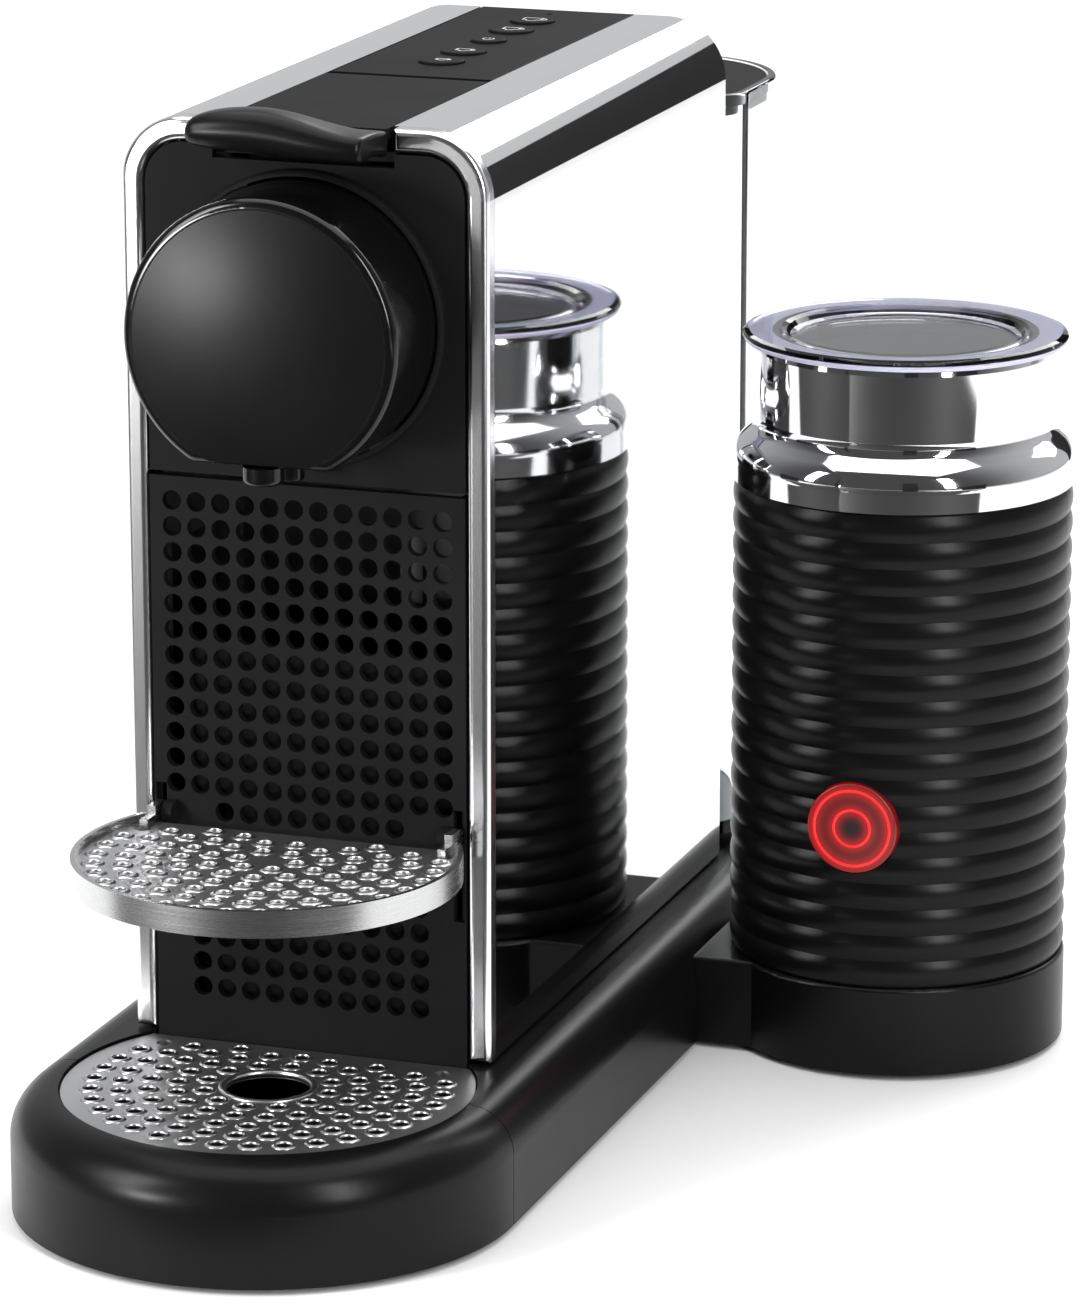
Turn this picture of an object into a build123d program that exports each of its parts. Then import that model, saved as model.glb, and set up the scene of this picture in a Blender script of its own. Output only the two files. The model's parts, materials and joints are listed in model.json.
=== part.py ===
from build123d import *
import math
import os

# Pod coffee machine with a milk frother docked at its side. Millimetres, +Z up.
# Everything is drawn in the machine's own frame: x = 0 is the middle of the tall
# body, y = 0 its front face with +Y to the back, z = 0 the worktop. The export
# moves it all so that the origin is below the middle of the whole machine.

# ---- driving dimensions -------------------------------------------------------
BODY_HALF = 49.6          # half width of the tall body
BODY_TOP = 277.0
BODY_BOTTOM = 33.4
BODY_BACK = 200.0
ARCH_R = 17.0             # rounding of the body's two top edges
COVER_T = 1.4             # sheet of the side covers
TRIM_W = 6.0              # width of the bright front frame
TRIM_D = 5.0              # its depth
SLOT_HALF = 23.0          # half width of the black strip on top

BASE_HALF = 66.4
BASE_TOP = 32.6
BASE_Z0 = 1.5             # underside of the base, carried by the feet
BASE_EDGE_R = 12.0        # soft rounding along the top edge of the base
BASE_WALL = 3.0
FRONT_ARC_Y = -30.5       # centre of the round front
BACK_Y = 278.0
BACK_CORNER_R = 46.0
SEAM_Y = -29.1            # joint between the drip base and the housing
SEAM_GAP = 0.2

DOCK_X = 114.0            # frother axis
DOCK_Y = 160.4
DOCK_R = 47.0
DOCK_TOP = 26.1
ARM_FRONT = 125.8
ARM_BACK = 195.0
DOCK_RECESS_R = 41.0
DOCK_RECESS_Z = 18.1
CORD_Z = 14.0             # the cord's gland, low in the back wall
BOSS_FOOT = 3.7           # screw bosses stand on the bottom plate
BOSS_TOP = 20.0
BOSSES = [(59.6, -16.0), (-59.6, -16.0), (57.0, 100.0), (-57.0, 100.0),
          (42.0, 246.0), (-42.0, 246.0), (140.0, 190.0), (88.0, 137.0)]
FEET = [(46.0, -12.0), (-46.0, -12.0), (46.0, 222.0), (-46.0, 222.0), (DOCK_X, 184.0), (DOCK_X, 136.0)]
FOOT_R = 8.0
TONGUE_HALF = 55.0        # rear half of the drip tray, inside the housing
TONGUE_BACK = 62.0
TONGUE_TOP = 27.4
TRAY_FLOOR = 6.6          # inside floor of the drip tray

SPLIT_Z = 184.0           # line between the front panel and the grille
PANEL_HALF = 43.2
PANEL_T = 2.5

HEAD_Z = 227.0            # centre of the round brew head
HEAD_R = 36.6
HEAD_FRONT = -32.0
HEAD_FLAT_Z = 195.3       # flat underside of the head
HEAD_WALL = 2.2
OUTLET_Y = -28.5
OUTLET_R = 5.3
OUTLET_Z = 190.6
STEAM_Y = -10.0           # the smaller outlet behind it
STEAM_Z = 187.6

LEVER_Y = 76.5            # lever hinge axis
LEVER_Z = 274.0
LEVER_T = 3.0
LEVER_HALF = 22.7
LEVER_OPEN_DEG = 75.0
GRIP_HALF = 24.0
GRIP_FRONT = -24.0
CHEEK_IN = 20.8           # cheek plates of the lever, |x| from here
CHEEK_OUT = 22.6
CAGE_PIN_Y = 54.5         # cross pin of the capsule cage, lever closed
CAGE_PIN_Z = 245.0
CAGE_PIN_R = 2.0
CAGE_TRAVEL = 22.0
CAGE_R = 20.0
CAGE_Y0 = 12.0
CAGE_Y1 = 46.0

BUTTONS = {               # name: (y of its centre, radius)
    "front_cup_button": (103.5, 6.1),
    "second_cup_button": (120.7, 6.1),
    "power_button": (141.0, 4.8),
    "third_cup_button": (159.7, 6.1),
    "rear_cup_button": (177.6, 6.1),
}
BUTTON_GAP = 0.3
BUTTON_TRAVEL = 1.0

GRILLE_PITCH = 6.88
GRILLE_TOP_ROW = 177.0
GRILLE_ROWS = 20
GRILLE_HOLE_R = 2.6

GRID_R = 53.4             # drip grid
GRID_TOP = 31.8
GRID_T = 1.5
GRID_CENTRE_HOLE = 11.2
PUNCH_R = 2.1
PUNCH_PITCH = 8.45        # spacing of the punched holes along a ring
RING_PITCH = 7.25
GRID_RINGS = 5            # rings of punched holes, the first one's radius, and how far back they go
GRID_FIRST_R = 16.6
GRID_PUNCH_BACK = -4.5
SUPPORT_RINGS = 6
SUPPORT_FIRST_R = 8.0
SUPPORT_PUNCH_BACK = -10.0

SUPPORT_Y = -29.5         # cup support
SUPPORT_R = 50.1
SUPPORT_TOP = 94.3
SUPPORT_H = 7.0
SUPPORT_BAND = 1.3
SUPPORT_PIN_Y = -1.5
SUPPORT_PIN_Z = 93.6
SUPPORT_PIN_R = 1.5
EAR_IN = 40.0
EAR_OUT = 42.2
LUG_IN = 36.8
LUG_OUT = 39.6

TANK_HALF = 51.0
TANK_Y0 = 203.0
TANK_Y1 = 277.0
TANK_Z0 = 36.6
TANK_TOP = 254.0
TANK_WALL = 3.4
TANK_LEDGE = 250.3        # the lid rests here, inside the rim
SEAT_Y = 214.0            # tank valve axis

PUMP_Z = 150.0            # pump axis
METER = (-26.0, 178.0, 56.4)      # flow meter, centre of its foot
TUBE_R = 3.0              # water hoses, outside
TUBE_WALL = 1.2
TUBE_BACK_Y = 176.0
HEATER_TOP = 98.0
HEATER_PORT_Z = 82.0      # hot water leaves the heater here
LAMP_Y = 192.5            # small lamp hole behind the last button

JUG_R = 46.8
JUG_Z0 = 26.4
JUG_RIBS = 18
JUG_VALLEY_R = JUG_R - 0.95       # between two ribs
JUG_FOOT_R = 40.6         # the part that stands in the dock
JUG_INNER_R = 43.0
JUG_RIB_TOP = 158.8
COLLAR_Z0 = 159.6
COLLAR_TOP = 197.2
NECK_R = 41.2
BOWL_R = 38.4
SPINDLE_R = 0.9           # the whisk turns on it
LID_R = 44.6
LID_TOP = 201.0
JUG_BUTTON_Z = 71.5
JUG_BUTTON_R = 12.6
RUN = 0.05                # radial clearance of a shaft in its bore

# shift that puts the origin under the middle of the whole machine
X_LOW, X_HIGH = -BASE_HALF, DOCK_X + DOCK_R
Y_LOW, Y_HIGH = FRONT_ARC_Y - BASE_HALF, BACK_Y
TO_ORIGIN = Pos(-(X_LOW + X_HIGH) / 2, -(Y_LOW + Y_HIGH) / 2, 0)


# ---- small helpers ------------------------------------------------------------
def block(x0, x1, y0, y1, z0, z1):
    return Pos((x0 + x1) / 2, (y0 + y1) / 2, (z0 + z1) / 2) * Box(x1 - x0, y1 - y0, z1 - z0)


def post(radius, z0, z1, x=0.0, y=0.0):
    return Pos(x, y, (z0 + z1) / 2) * Cylinder(radius, z1 - z0)


def rod_x(radius, x0, x1, y, z):
    return Pos((x0 + x1) / 2, y, z) * Rot(0, 90, 0) * Cylinder(radius, x1 - x0)


def rod_y(radius, y0, y1, x, z):
    return Pos(x, (y0 + y1) / 2, z) * Rot(90, 0, 0) * Cylinder(radius, y1 - y0)


def along_y(sketch, y0, y1):
    """Extrude a sketch drawn in (x, z) from y0 back to y1."""
    plane = Plane(origin=(0, y1, 0), x_dir=(1, 0, 0), z_dir=(0, -1, 0))
    return extrude(plane * sketch, y1 - y0)


def along_x(sketch, x0, x1):
    """Extrude a sketch drawn in (y, z) from x0 to x1."""
    plane = Plane(origin=(x0, 0, 0), x_dir=(0, 1, 0), z_dir=(1, 0, 0))
    return extrude(plane * sketch, x1 - x0)


def rect(x0, x1, z0, z1):
    return Pos((x0 + x1) / 2, (z0 + z1) / 2) * Rectangle(x1 - x0, z1 - z0)


def turned(points, x=0.0, y=0.0):
    """Revolve a closed outline of (radius, z) points about the vertical at x, y."""
    outline = make_face(Polyline(*points, close=True))
    return Pos(x, y, 0) * revolve(Plane.XZ * outline, Axis.Z)


def both_sides(solid):
    return solid + mirror(solid, Plane.YZ)


# ---- base ---------------------------------------------------------------------
def base_plan(inset=0.0):
    half = BASE_HALF - inset
    nose = Pos(0, FRONT_ARC_Y) * Circle(half)
    slab = rect(-half, half, FRONT_ARC_Y, BACK_Y - inset)
    slab = fillet(slab.vertices().group_by(Axis.Y)[-1], BACK_CORNER_R - inset)
    return nose + slab


def dock_plan(inset=0.0):
    ring = Pos(DOCK_X, DOCK_Y) * Circle(DOCK_R - inset)
    arm = rect(40.0, DOCK_X, ARM_FRONT + inset, ARM_BACK - inset)
    return ring + arm


def soft_slab(plan, z0, z1, radius):
    slab = extrude(Pos(0, 0, z0) * plan, z1 - z0)
    top = slab.faces().sort_by(Axis.Z)[-1]
    return fillet(top.outer_wire().edges(), radius)


def whole_base():
    return soft_slab(base_plan(), BASE_Z0, BASE_TOP, BASE_EDGE_R)


def boss_rib(x, y):
    """Web that ties a screw boss to the nearest wall of the base."""
    if y > BODY_BACK:
        return block(x - 1, x + 1, y, y + 24, BOSS_FOOT, BOSS_TOP)
    wall = math.copysign(BASE_HALF - 2, x)
    return block(min(x, wall), max(x, wall), y - 1, y + 1, BOSS_FOOT, BOSS_TOP)


def base_housing():
    dock = soft_slab(dock_plan(), BASE_Z0, DOCK_TOP, 1.2)
    body = whole_base() + dock
    body -= soft_slab(base_plan(BASE_WALL), 0, BASE_TOP - BASE_WALL, BASE_EDGE_R - BASE_WALL)
    body -= extrude(dock_plan(BASE_WALL), DOCK_RECESS_Z - BASE_WALL)
    body -= post(DOCK_RECESS_R, DOCK_RECESS_Z, 40, DOCK_X, DOCK_Y)
    body -= block(-80, 80, -120, SEAM_Y + SEAM_GAP, 0, 60)
    body -= block(-TONGUE_HALF - 0.6, TONGUE_HALF + 0.6, -40, -20, 0, TONGUE_TOP + 0.8)
    body -= post(GRID_R + 0.5, 25, 40, 0, FRONT_ARC_Y) & block(-60, 60, -40, 0.0, 20, 40)
    body -= block(-44.0, 44.0, -1.0, 76.0, 20, 40)
    for x, y in BOSSES:
        under_dock = x > BASE_HALF
        body += post(3.4, BOSS_FOOT, DOCK_RECESS_Z - 2.0 if under_dock else BOSS_TOP, x, y)
        if not under_dock:
            body += boss_rib(x, y)
        body -= post(1.3, 0, 14.0, x, y)
    body -= post(4.0, 25, 40, 0, SEAT_Y) + post(4.0, 25, 40, METER[0] - 7, METER[1])
    return body - rod_y(6.0, BACK_Y - 10, BACK_Y + 10, 0, CORD_Z)


def base_bottom_plate():
    inset = BASE_WALL + 0.3
    plan = base_plan(inset) + (dock_plan(inset) & rect(60, 200, 100, 220))
    plate = extrude(Pos(0, 0, BASE_Z0) * plan, 2.0)
    plate -= block(-80, 80, -120, SEAM_Y + 1.0, 0, 10)
    for x, y in BOSSES:
        plate -= turned([(0, 0), (3.2, 0), (3.2, 1.7), (2.0, 3.45), (2.0, 6), (0, 6)], x, y)
    for row in range(7):
        plate -= block(-24, 24, 96 + 9 * row, 99 + 9 * row, 0, 10)
    return plate


def rubber_feet():
    feet = Part()
    for x, y in FEET:
        feet += turned([(0, 0), (FOOT_R - 1, 0), (FOOT_R, 1.0), (FOOT_R, BASE_Z0), (0, BASE_Z0)], x, y)
    return feet


def base_screws():
    screws = Part()
    top = 12.0
    for x, y in BOSSES:
        shape = turned([(0, 1.6), (3.0, 1.6), (1.85, 3.4), (1.25, 3.6), (1.25, top - 2), (0, top)], x, y)
        shape -= Pos(x, y, 1.6) * Box(1.0, 4.4, 1.6)
        screws += shape
    return screws


def cord_gland():
    """Bush the cord comes out of, with a collar behind the wall."""
    gland = rod_y(5.9, BACK_Y - 5.5, BACK_Y - 0.2, 0, CORD_Z)
    gland += rod_y(8.0, BACK_Y - 7.5, BACK_Y - 3.2, 0, CORD_Z)
    return gland - rod_y(3.6, BACK_Y - 10, BACK_Y + 5, 0, CORD_Z)


def drip_base():
    front = whole_base() & block(-80, 80, -120, SEAM_Y - SEAM_GAP, 0, 60)
    tongue = block(-TONGUE_HALF, TONGUE_HALF, SEAM_Y - SEAM_GAP - 1, TONGUE_BACK, 4.4, TONGUE_TOP)
    tray = front + tongue
    # hollow under the rim, then the wet tray, then the rim the grid sits in
    under = post(BASE_HALF - 3, 0, 20, 0, FRONT_ARC_Y) - post(GRID_R, 0, 20, 0, FRONT_ARC_Y)
    tray -= under & block(-80, 80, -120, SEAM_Y - 3, 0, 20)
    wet_front = post(GRID_R - 2.2, TRAY_FLOOR, 60, 0, FRONT_ARC_Y)
    tray -= wet_front & block(-80, 80, -120, SEAM_Y + 3, 0, 60)
    wet_back = block(-TONGUE_HALF + 2.4, TONGUE_HALF - 2.4, SEAM_Y - 4, TONGUE_BACK - 2.2, TRAY_FLOOR, 60)
    tray -= wet_back & block(-60, 60, FRONT_ARC_Y - 6, 100, 0, 60)
    tray -= post(GRID_R + 0.5, GRID_TOP - GRID_T, 60, 0, FRONT_ARC_Y)
    for y in (16.0, 56.0):
        tray += block(-TONGUE_HALF + 1, TONGUE_HALF - 1, y, y + 2.4, 20.0, TONGUE_TOP)
    return tray


def ring_holes(rings, first_radius, y_limit, centre_y, z0, z1):
    """Rings of small holes around centre_y, kept in front of y_limit."""
    holes = []
    for ring in range(rings):
        radius = first_radius + ring * RING_PITCH
        count = round(2 * math.pi * radius / PUNCH_PITCH)
        for k in range(count):
            angle = 2 * math.pi * (k + 0.5 * (ring % 2)) / count
            x, y = radius * math.cos(angle), centre_y + radius * math.sin(angle)
            if y < y_limit:
                holes.append(post(PUNCH_R, z0, z1, x, y))
    return holes


def drip_grid():
    plate = post(GRID_R, GRID_TOP - GRID_T, GRID_TOP, 0, FRONT_ARC_Y)
    plate -= block(-80, 80, -0.6, 60, 0, 60)
    plate -= post(GRID_CENTRE_HOLE, 20, 40, 0, FRONT_ARC_Y)
    return plate - ring_holes(GRID_RINGS, GRID_FIRST_R, GRID_PUNCH_BACK, FRONT_ARC_Y, 25, 40)


def capsule_container():
    x, y0, y1, z0, z1 = 39.5, 8.0, 70.0, TONGUE_TOP + 0.1, 136.0
    outer = block(-x, x, y0, y1, z0, z1)
    outer = fillet(outer.edges().filter_by(Axis.Z), 8.0)
    inner = block(-x + 2, x - 2, y0 + 2, y1 - 2, z0 + 2, z1 + 10)
    inner = fillet(inner.edges().filter_by(Axis.Z), 6.0)
    drain = [block(-24, 24, y, y + 3, 20, 40) for y in (20, 30, 40, 50)]
    return outer - inner - drain


# ---- front --------------------------------------------------------------------
def arch(inset, bottom=BODY_BOTTOM, foot=0.0):
    """The body's front outline in (x, z), inset from the outside."""
    half = BODY_HALF - inset
    shape = rect(-half, half, bottom + foot, BODY_TOP - inset)
    return fillet(shape.vertices().group_by(Axis.Y)[-1], max(ARCH_R - inset, 1.0))


def side_cover(sign):
    band = arch(0) - arch(COVER_T, BODY_BOTTOM - 5)
    half = rect(SLOT_HALF, 60, 0, 300) if sign > 0 else rect(-60, -SLOT_HALF, 0, 300)
    return along_y(band & half, TRIM_D + 0.2, BODY_BACK)


def front_trim(sign):
    band = arch(0) - arch(TRIM_W, BODY_BOTTOM - 5)
    half = rect(GRIP_HALF + 0.5, 60, 0, 300) if sign > 0 else rect(-60, -GRIP_HALF - 0.5, 0, 300)
    trim = along_y(band & half, 0, TRIM_D)
    front = trim.faces().sort_by(Axis.Y)[0]
    return fillet(front.edges(), 1.8)


def front_panel():
    face = arch(TRIM_W + 0.4, SPLIT_Z + 0.6)
    face -= rect(-GRIP_HALF - 0.6, GRIP_HALF + 0.6, 267.0, 300)
    face -= Pos(0, HEAD_Z) * Circle(HEAD_R + 0.5)
    outer = Pos(0, HEAD_Z) * Circle(HEAD_R + 2.0)
    boss = along_y(outer - Pos(0, HEAD_Z) * Circle(HEAD_R + 0.5), -2.4, 1.2)
    boss = fillet(boss.faces().sort_by(Axis.Y)[0].outer_wire().edges(), 1.4)
    return along_y(face, 0.8, 0.8 + PANEL_T) + boss


def head_section(radius, flat):
    disc = Pos(0, HEAD_Z) * Circle(radius)
    disc &= rect(-60, 60, flat, 300)
    return fillet(disc.vertices(), 5.0)


def head_cover():
    drum = along_y(head_section(HEAD_R, HEAD_FLAT_Z), HEAD_FRONT, 6.0)
    front = drum.faces().sort_by(Axis.Y)[0]
    drum = fillet(front.edges(), 2.5)
    drum -= along_y(head_section(HEAD_R - HEAD_WALL, HEAD_FLAT_Z + HEAD_WALL), HEAD_FRONT + 2.5, 10.0)
    disc_seat = rod_y(30.0, HEAD_FRONT - 5, HEAD_FRONT + 5, 0, HEAD_Z)
    drum -= disc_seat & block(-40, 40, -50, 0, HEAD_FLAT_Z + 4, 300)
    drum -= post(OUTLET_R + 0.1, 180, 200, 0, OUTLET_Y) & block(-9, 9, HEAD_FRONT + 2.5, 0, 180, 210)
    drum -= post(3.7, 180, 200, 0, STEAM_Y)
    return drum


def head_disc():
    """Domed round front of the brew head."""
    radius, dome = 33.9, 3.0
    ball_r = (radius ** 2 + dome ** 2) / (2 * dome)
    ball = Pos(0, HEAD_FRONT - dome + ball_r, HEAD_Z) * Sphere(ball_r)
    cap = ball & along_y(head_section(radius, HEAD_FLAT_Z + 0.9), HEAD_FRONT - 10, HEAD_FRONT - 0.05)
    plug = rod_y(29.8, HEAD_FRONT - 0.1, HEAD_FRONT + 2.0, 0, HEAD_Z)
    return cap + (plug & block(-40, 40, -50, 0, HEAD_FLAT_Z + 4.2, 300))


def coffee_outlet():
    spout = post(OUTLET_R, OUTLET_Z, 201.0, 0, OUTLET_Y)
    spout = fillet(spout.edges().sort_by(Axis.Z)[0], 1.5)
    steam = post(3.6, STEAM_Z, 201.0, 0, STEAM_Y)
    steam = fillet(steam.edges().sort_by(Axis.Z)[0], 0.8)
    spout -= block(-9, 9, -60, HEAD_FRONT + 2.6, HEAD_FLAT_Z - 0.1, 210)
    body = spout + steam + block(-5.2, 5.2, -29, 1.8, 197.7, 203.0)
    body -= post(2.6, 180, 202.0, 0, OUTLET_Y)
    body -= post(1.6, 180, 202.0, 0, STEAM_Y)
    return body - block(-2.5, 2.5, -30, 3, 199.5, 201.5)


def grille_columns(row):
    """How many holes a row of the grille has: fewer beside the cup support's hinge."""
    return 12 if row < 12 else (8 if row in (12, 13, 14) else 10)


def grille_panel():
    face = rect(-PANEL_HALF, PANEL_HALF, TONGUE_TOP + 0.4, SPLIT_Z - 0.6)
    slot = rect(LUG_OUT + 0.2, EAR_OUT + 0.6, 71.0, 101.0)
    face -= slot + mirror(slot, Plane.YZ)
    for row in range(GRILLE_ROWS):
        z = GRILLE_TOP_ROW - row * GRILLE_PITCH
        columns = grille_columns(row)
        spots = [Pos((k - (columns - 1) / 2) * GRILLE_PITCH * 0.98, z) for k in range(columns)]
        face -= Sketch() + [spot * Circle(GRILLE_HOLE_R) for spot in spots]
    panel = along_y(face, 0.4, 0.4 + PANEL_T)
    lug = along_x(Pos(SUPPORT_PIN_Y, SUPPORT_PIN_Z) * Circle(3.0) + rect(SUPPORT_PIN_Y, 1.5, 90.6, 96.6),
                  LUG_IN, LUG_OUT)
    rib = block(PANEL_HALF - 1.6, PANEL_HALF, 2.0, 6.0, TONGUE_TOP + 0.4, SPLIT_Z - 0.6)
    pin = rod_x(SUPPORT_PIN_R, LUG_IN, EAR_OUT, SUPPORT_PIN_Y, SUPPORT_PIN_Z)
    return panel + both_sides(lug) + both_sides(rib) + both_sides(pin)


def cup_support_ring():
    z0 = SUPPORT_TOP - SUPPORT_H
    band = post(SUPPORT_R, z0, SUPPORT_TOP, 0, SUPPORT_Y)
    band -= post(SUPPORT_R - SUPPORT_BAND, 0, 200, 0, SUPPORT_Y)
    lip = post(SUPPORT_R - 0.3, SUPPORT_TOP - 4.6, SUPPORT_TOP - 3.4, 0, SUPPORT_Y)
    lip -= post(SUPPORT_R - 4.0, 0, 200, 0, SUPPORT_Y)
    ring = (band + lip) - block(-80, 80, -6.0, 40, 0, 200)
    profile = rect(-12.5, SUPPORT_PIN_Y, z0, 96.6) + Pos(SUPPORT_PIN_Y, SUPPORT_PIN_Z) * Circle(3.0)
    profile -= Pos(SUPPORT_PIN_Y, SUPPORT_PIN_Z) * Circle(SUPPORT_PIN_R + RUN)
    ear = along_x(profile, EAR_IN, EAR_OUT)
    ear -= block(0, 60, -20, -7, SUPPORT_TOP, 200)
    ear -= block(0, 60, -3.5, 9, 0, 90.2)
    return ring + both_sides(ear)


def cup_support_grid():
    z1 = SUPPORT_TOP - 2.2
    plate = post(SUPPORT_R - SUPPORT_BAND - 0.05, z1 - 1.2, z1, 0, SUPPORT_Y)
    plate -= block(-80, 80, -6.2, 40, 0, 200)
    plate -= both_sides(block(EAR_IN - 0.1, 60, -13.0, 40, 0, 200))
    return plate - ring_holes(SUPPORT_RINGS, SUPPORT_FIRST_R, SUPPORT_PUNCH_BACK, SUPPORT_Y, 80, 100)


# ---- top and lever ------------------------------------------------------------
def top_panel():
    strip = block(-LEVER_HALF, LEVER_HALF, 80.0, BODY_BACK, BODY_TOP - 2.2, BODY_TOP)
    strip = fillet(strip.edges().filter_by(Axis.Y).group_by(Axis.Z)[-1], 0.4)
    for y, radius in BUTTONS.values():
        strip -= post(radius + BUTTON_GAP, 260, 290, 0, y)
    return strip - post(0.9, 260, 290, 0, LAMP_Y)


def push_button(y, radius):
    stem = post(1.6, 269.6, 274.0, 0, y)
    flange = post(radius + 1.2, 273.0, BODY_TOP - 2.5, 0, y)
    cap = post(radius, 273.5, BODY_TOP + 0.7, 0, y)
    cap = fillet(cap.edges().sort_by(Axis.Z)[-1], 0.5)
    return stem + flange + cap


def control_board():
    board = block(-18, 18, 94, 190, 264.6, 266.2)
    for y, radius in BUTTONS.values():
        board += block(-3, 3, y - 3, y + 3, 266.2, 267.6) + post(1.5, 267.5, 268.3, 0, y)
    board += block(-15, -5, 108, 116, 261.5, 264.6) + block(2, 12, 128, 138, 262.6, 264.6)
    board += block(8, 16, 150, 172, 258.0, 264.6) + post(1.4, 266.0, 274.2, 0, LAMP_Y - 4.0)
    return board


def lever_plate():
    plate = block(-LEVER_HALF, LEVER_HALF, 0.3, LEVER_Y, LEVER_Z, BODY_TOP)
    barrel = rod_x(LEVER_T, -LEVER_HALF, LEVER_HALF, LEVER_Y, LEVER_Z)
    ribs = block(-CHEEK_OUT, CHEEK_OUT, 8, 10, LEVER_Z - 2.0, LEVER_Z + 0.2)
    ribs += both_sides(block(9, 11, 8, LEVER_Y - 2, LEVER_Z - 2.0, LEVER_Z + 0.2))
    lever = plate + barrel + ribs
    lever -= both_sides(block(CHEEK_IN - 0.1, CHEEK_OUT + 0.1, 40, 100, 200, LEVER_Z))
    return lever - rod_x(1.5 + RUN, -40, 40, LEVER_Y, LEVER_Z)


def lever_grip():
    """Lip at the front of the lever: a wave across its width, hollowed below."""
    wave = Spline((-GRIP_HALF, 276.0), (-21.0, 281.2), (-10.0, 283.6), (2.0, 282.8),
                  (14.0, 279.4), (GRIP_HALF, 277.4))
    low = Polyline((GRIP_HALF, 277.4), (GRIP_HALF, 270.0), (-GRIP_HALF, 270.0), (-GRIP_HALF, 276.0))
    front_view = make_face([wave.edge()] + list(low.edges()))
    nose = Spline((-0.2, 277.0), (-8.0, 281.0), (-15.0, 283.6), (-21.5, 282.4), (GRIP_FRONT, 278.6),
                  (-21.0, 275.0), (-14.0, 274.4), (-8.0, 274.0), (-3.6, 270.0))
    back = Polyline((-3.6, 270.0), (-0.2, 270.0), (-0.2, 277.0))
    side_view = make_face([nose.edge()] + list(back.edges()))
    return along_y(front_view, -40, 0) & along_x(side_view, -GRIP_HALF, GRIP_HALF)


def cheek_slot_points():
    """Where the cage's cross pin runs, seen from the lever, as the lever opens."""
    points = []
    for step in range(16):
        share = step / 15
        turn = math.radians(LEVER_OPEN_DEG) * share
        y = CAGE_PIN_Y + CAGE_TRAVEL * share - LEVER_Y
        z = CAGE_PIN_Z - LEVER_Z
        points.append((y * math.cos(turn) - z * math.sin(turn), y * math.sin(turn) + z * math.cos(turn)))
    return points


def lever_cheeks():
    slot_points = cheek_slot_points()
    track = Spline(*slot_points)
    slot = Sketch() + [Pos(p) * Circle(CAGE_PIN_R + 0.3) for p in (slot_points[0], slot_points[-1])]
    outer, inner, rim = [], [], []
    for k in range(31):
        p, t = track @ (k / 30), track % (k / 30)
        side = Vector(-t.Y, t.X)
        outer.append(p - side * (CAGE_PIN_R + 0.3))
        inner.append(p + side * (CAGE_PIN_R + 0.3))
        rim.append(p - side * 6.0)
    slot += make_face(Polyline(*outer, *reversed(inner), close=True))
    lead = track @ 0 - (track % 0) * 6.0
    tail = track @ 1 + (track % 1) * 6.0
    plate = make_face(Polyline((-4, -0.4), lead, *rim, tail, (12, -2.6), (3, -0.4), close=True))
    plate += Circle(3.0)
    plate -= slot
    plate -= Circle(1.5 + RUN)
    plate &= rect(-80, 80, -80, -0.1)
    plate -= rect(-80, 80, -0.1, 40)
    return both_sides(along_x(Pos(LEVER_Y, LEVER_Z) * plate, CHEEK_IN, CHEEK_OUT))


def lever_pin():
    return rod_x(1.5, -27.0, 27.0, LEVER_Y, LEVER_Z)


def slot_plate():
    """Dark plate under the lever with the slot a capsule drops through."""
    plate = block(-20.2, 20.2, 4.0, 58.0, 268.0, 270.6) + block(-30.0, 30.0, 4.0, 16.0, 268.0, 270.6)
    mouth = rect(-18.6, 18.6, 8.0, 36.0)
    mouth = fillet(mouth.vertices(), 6.0)
    funnel = extrude(Pos(0, 0, 255.0) * offset(mouth, 1.2, kind=Kind.ARC), 13.5)
    return plate + funnel - extrude(Pos(0, 0, 240) * mouth, 40)


# ---- inside -------------------------------------------------------------------
def inner_frame():
    wall = block(45.4, 47.6, 8.0, 196.0, 35.0, 258.0)
    wall -= block(40, 50, 96, 180, 136, 176)
    wall -= block(40, 50, 20, 70, 60, 160)
    frame = both_sides(wall)
    frame += block(-46, 46, 82.0, 84.4, 35.0, 188.0)
    frame += block(-46, 46, 8.0, 84.4, 185.6, 188.0)
    frame -= block(-21, 21, 9.0, 37.0, 180, 190)
    frame += block(-46, 46, 84.0, 196.0, 54.0, 56.4)
    frame += block(-46, 46, 84.0, 196.0, 126.0, 128.4)
    for y in (90.0, 143.0):
        cradle = block(-22, 22, y, y + 5, 128.0, 150.0)
        frame += cradle - rod_y(15.0, y - 1, y + 6, 0, 150.0)
    lug = block(23.6, 27.6, 72.0, 79.6, 256.0, 274.6) + block(23.6, 46.0, 72.0, 79.6, 250.0, 258.0)
    lug -= rod_x(1.5, 20, 30, LEVER_Y, LEVER_Z)
    frame += both_sides(lug)
    shelf = block(23.6, 46.0, 94.0, 190.0, 255.0, 257.6) + block(14.0, 24.0, 121.0, 125.0, 255.0, 264.6)
    shelf += block(14.0, 24.0, 184.0, 188.0, 255.0, 264.6) + block(23.0, 27.0, 96.0, 188.0, 255.0, 257.6)
    frame += both_sides(shelf)
    ledge = block(24.0, 46.0, 8.0, 12.0, 250.0, 258.0) + block(24.0, 30.0, 8.0, 12.0, 250.0, 267.9)
    frame += both_sides(ledge)
    frame -= rod_y(4.2, 80, 88, 0, PUMP_Z) + rod_y(4.2, 80, 88, 0, HEATER_PORT_Z)
    frame -= post(4.2, 50, 60, METER[0] - 7, METER[1])
    return frame - post(4.2, 120, 135, METER[0] - 7, TUBE_BACK_Y)


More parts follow.
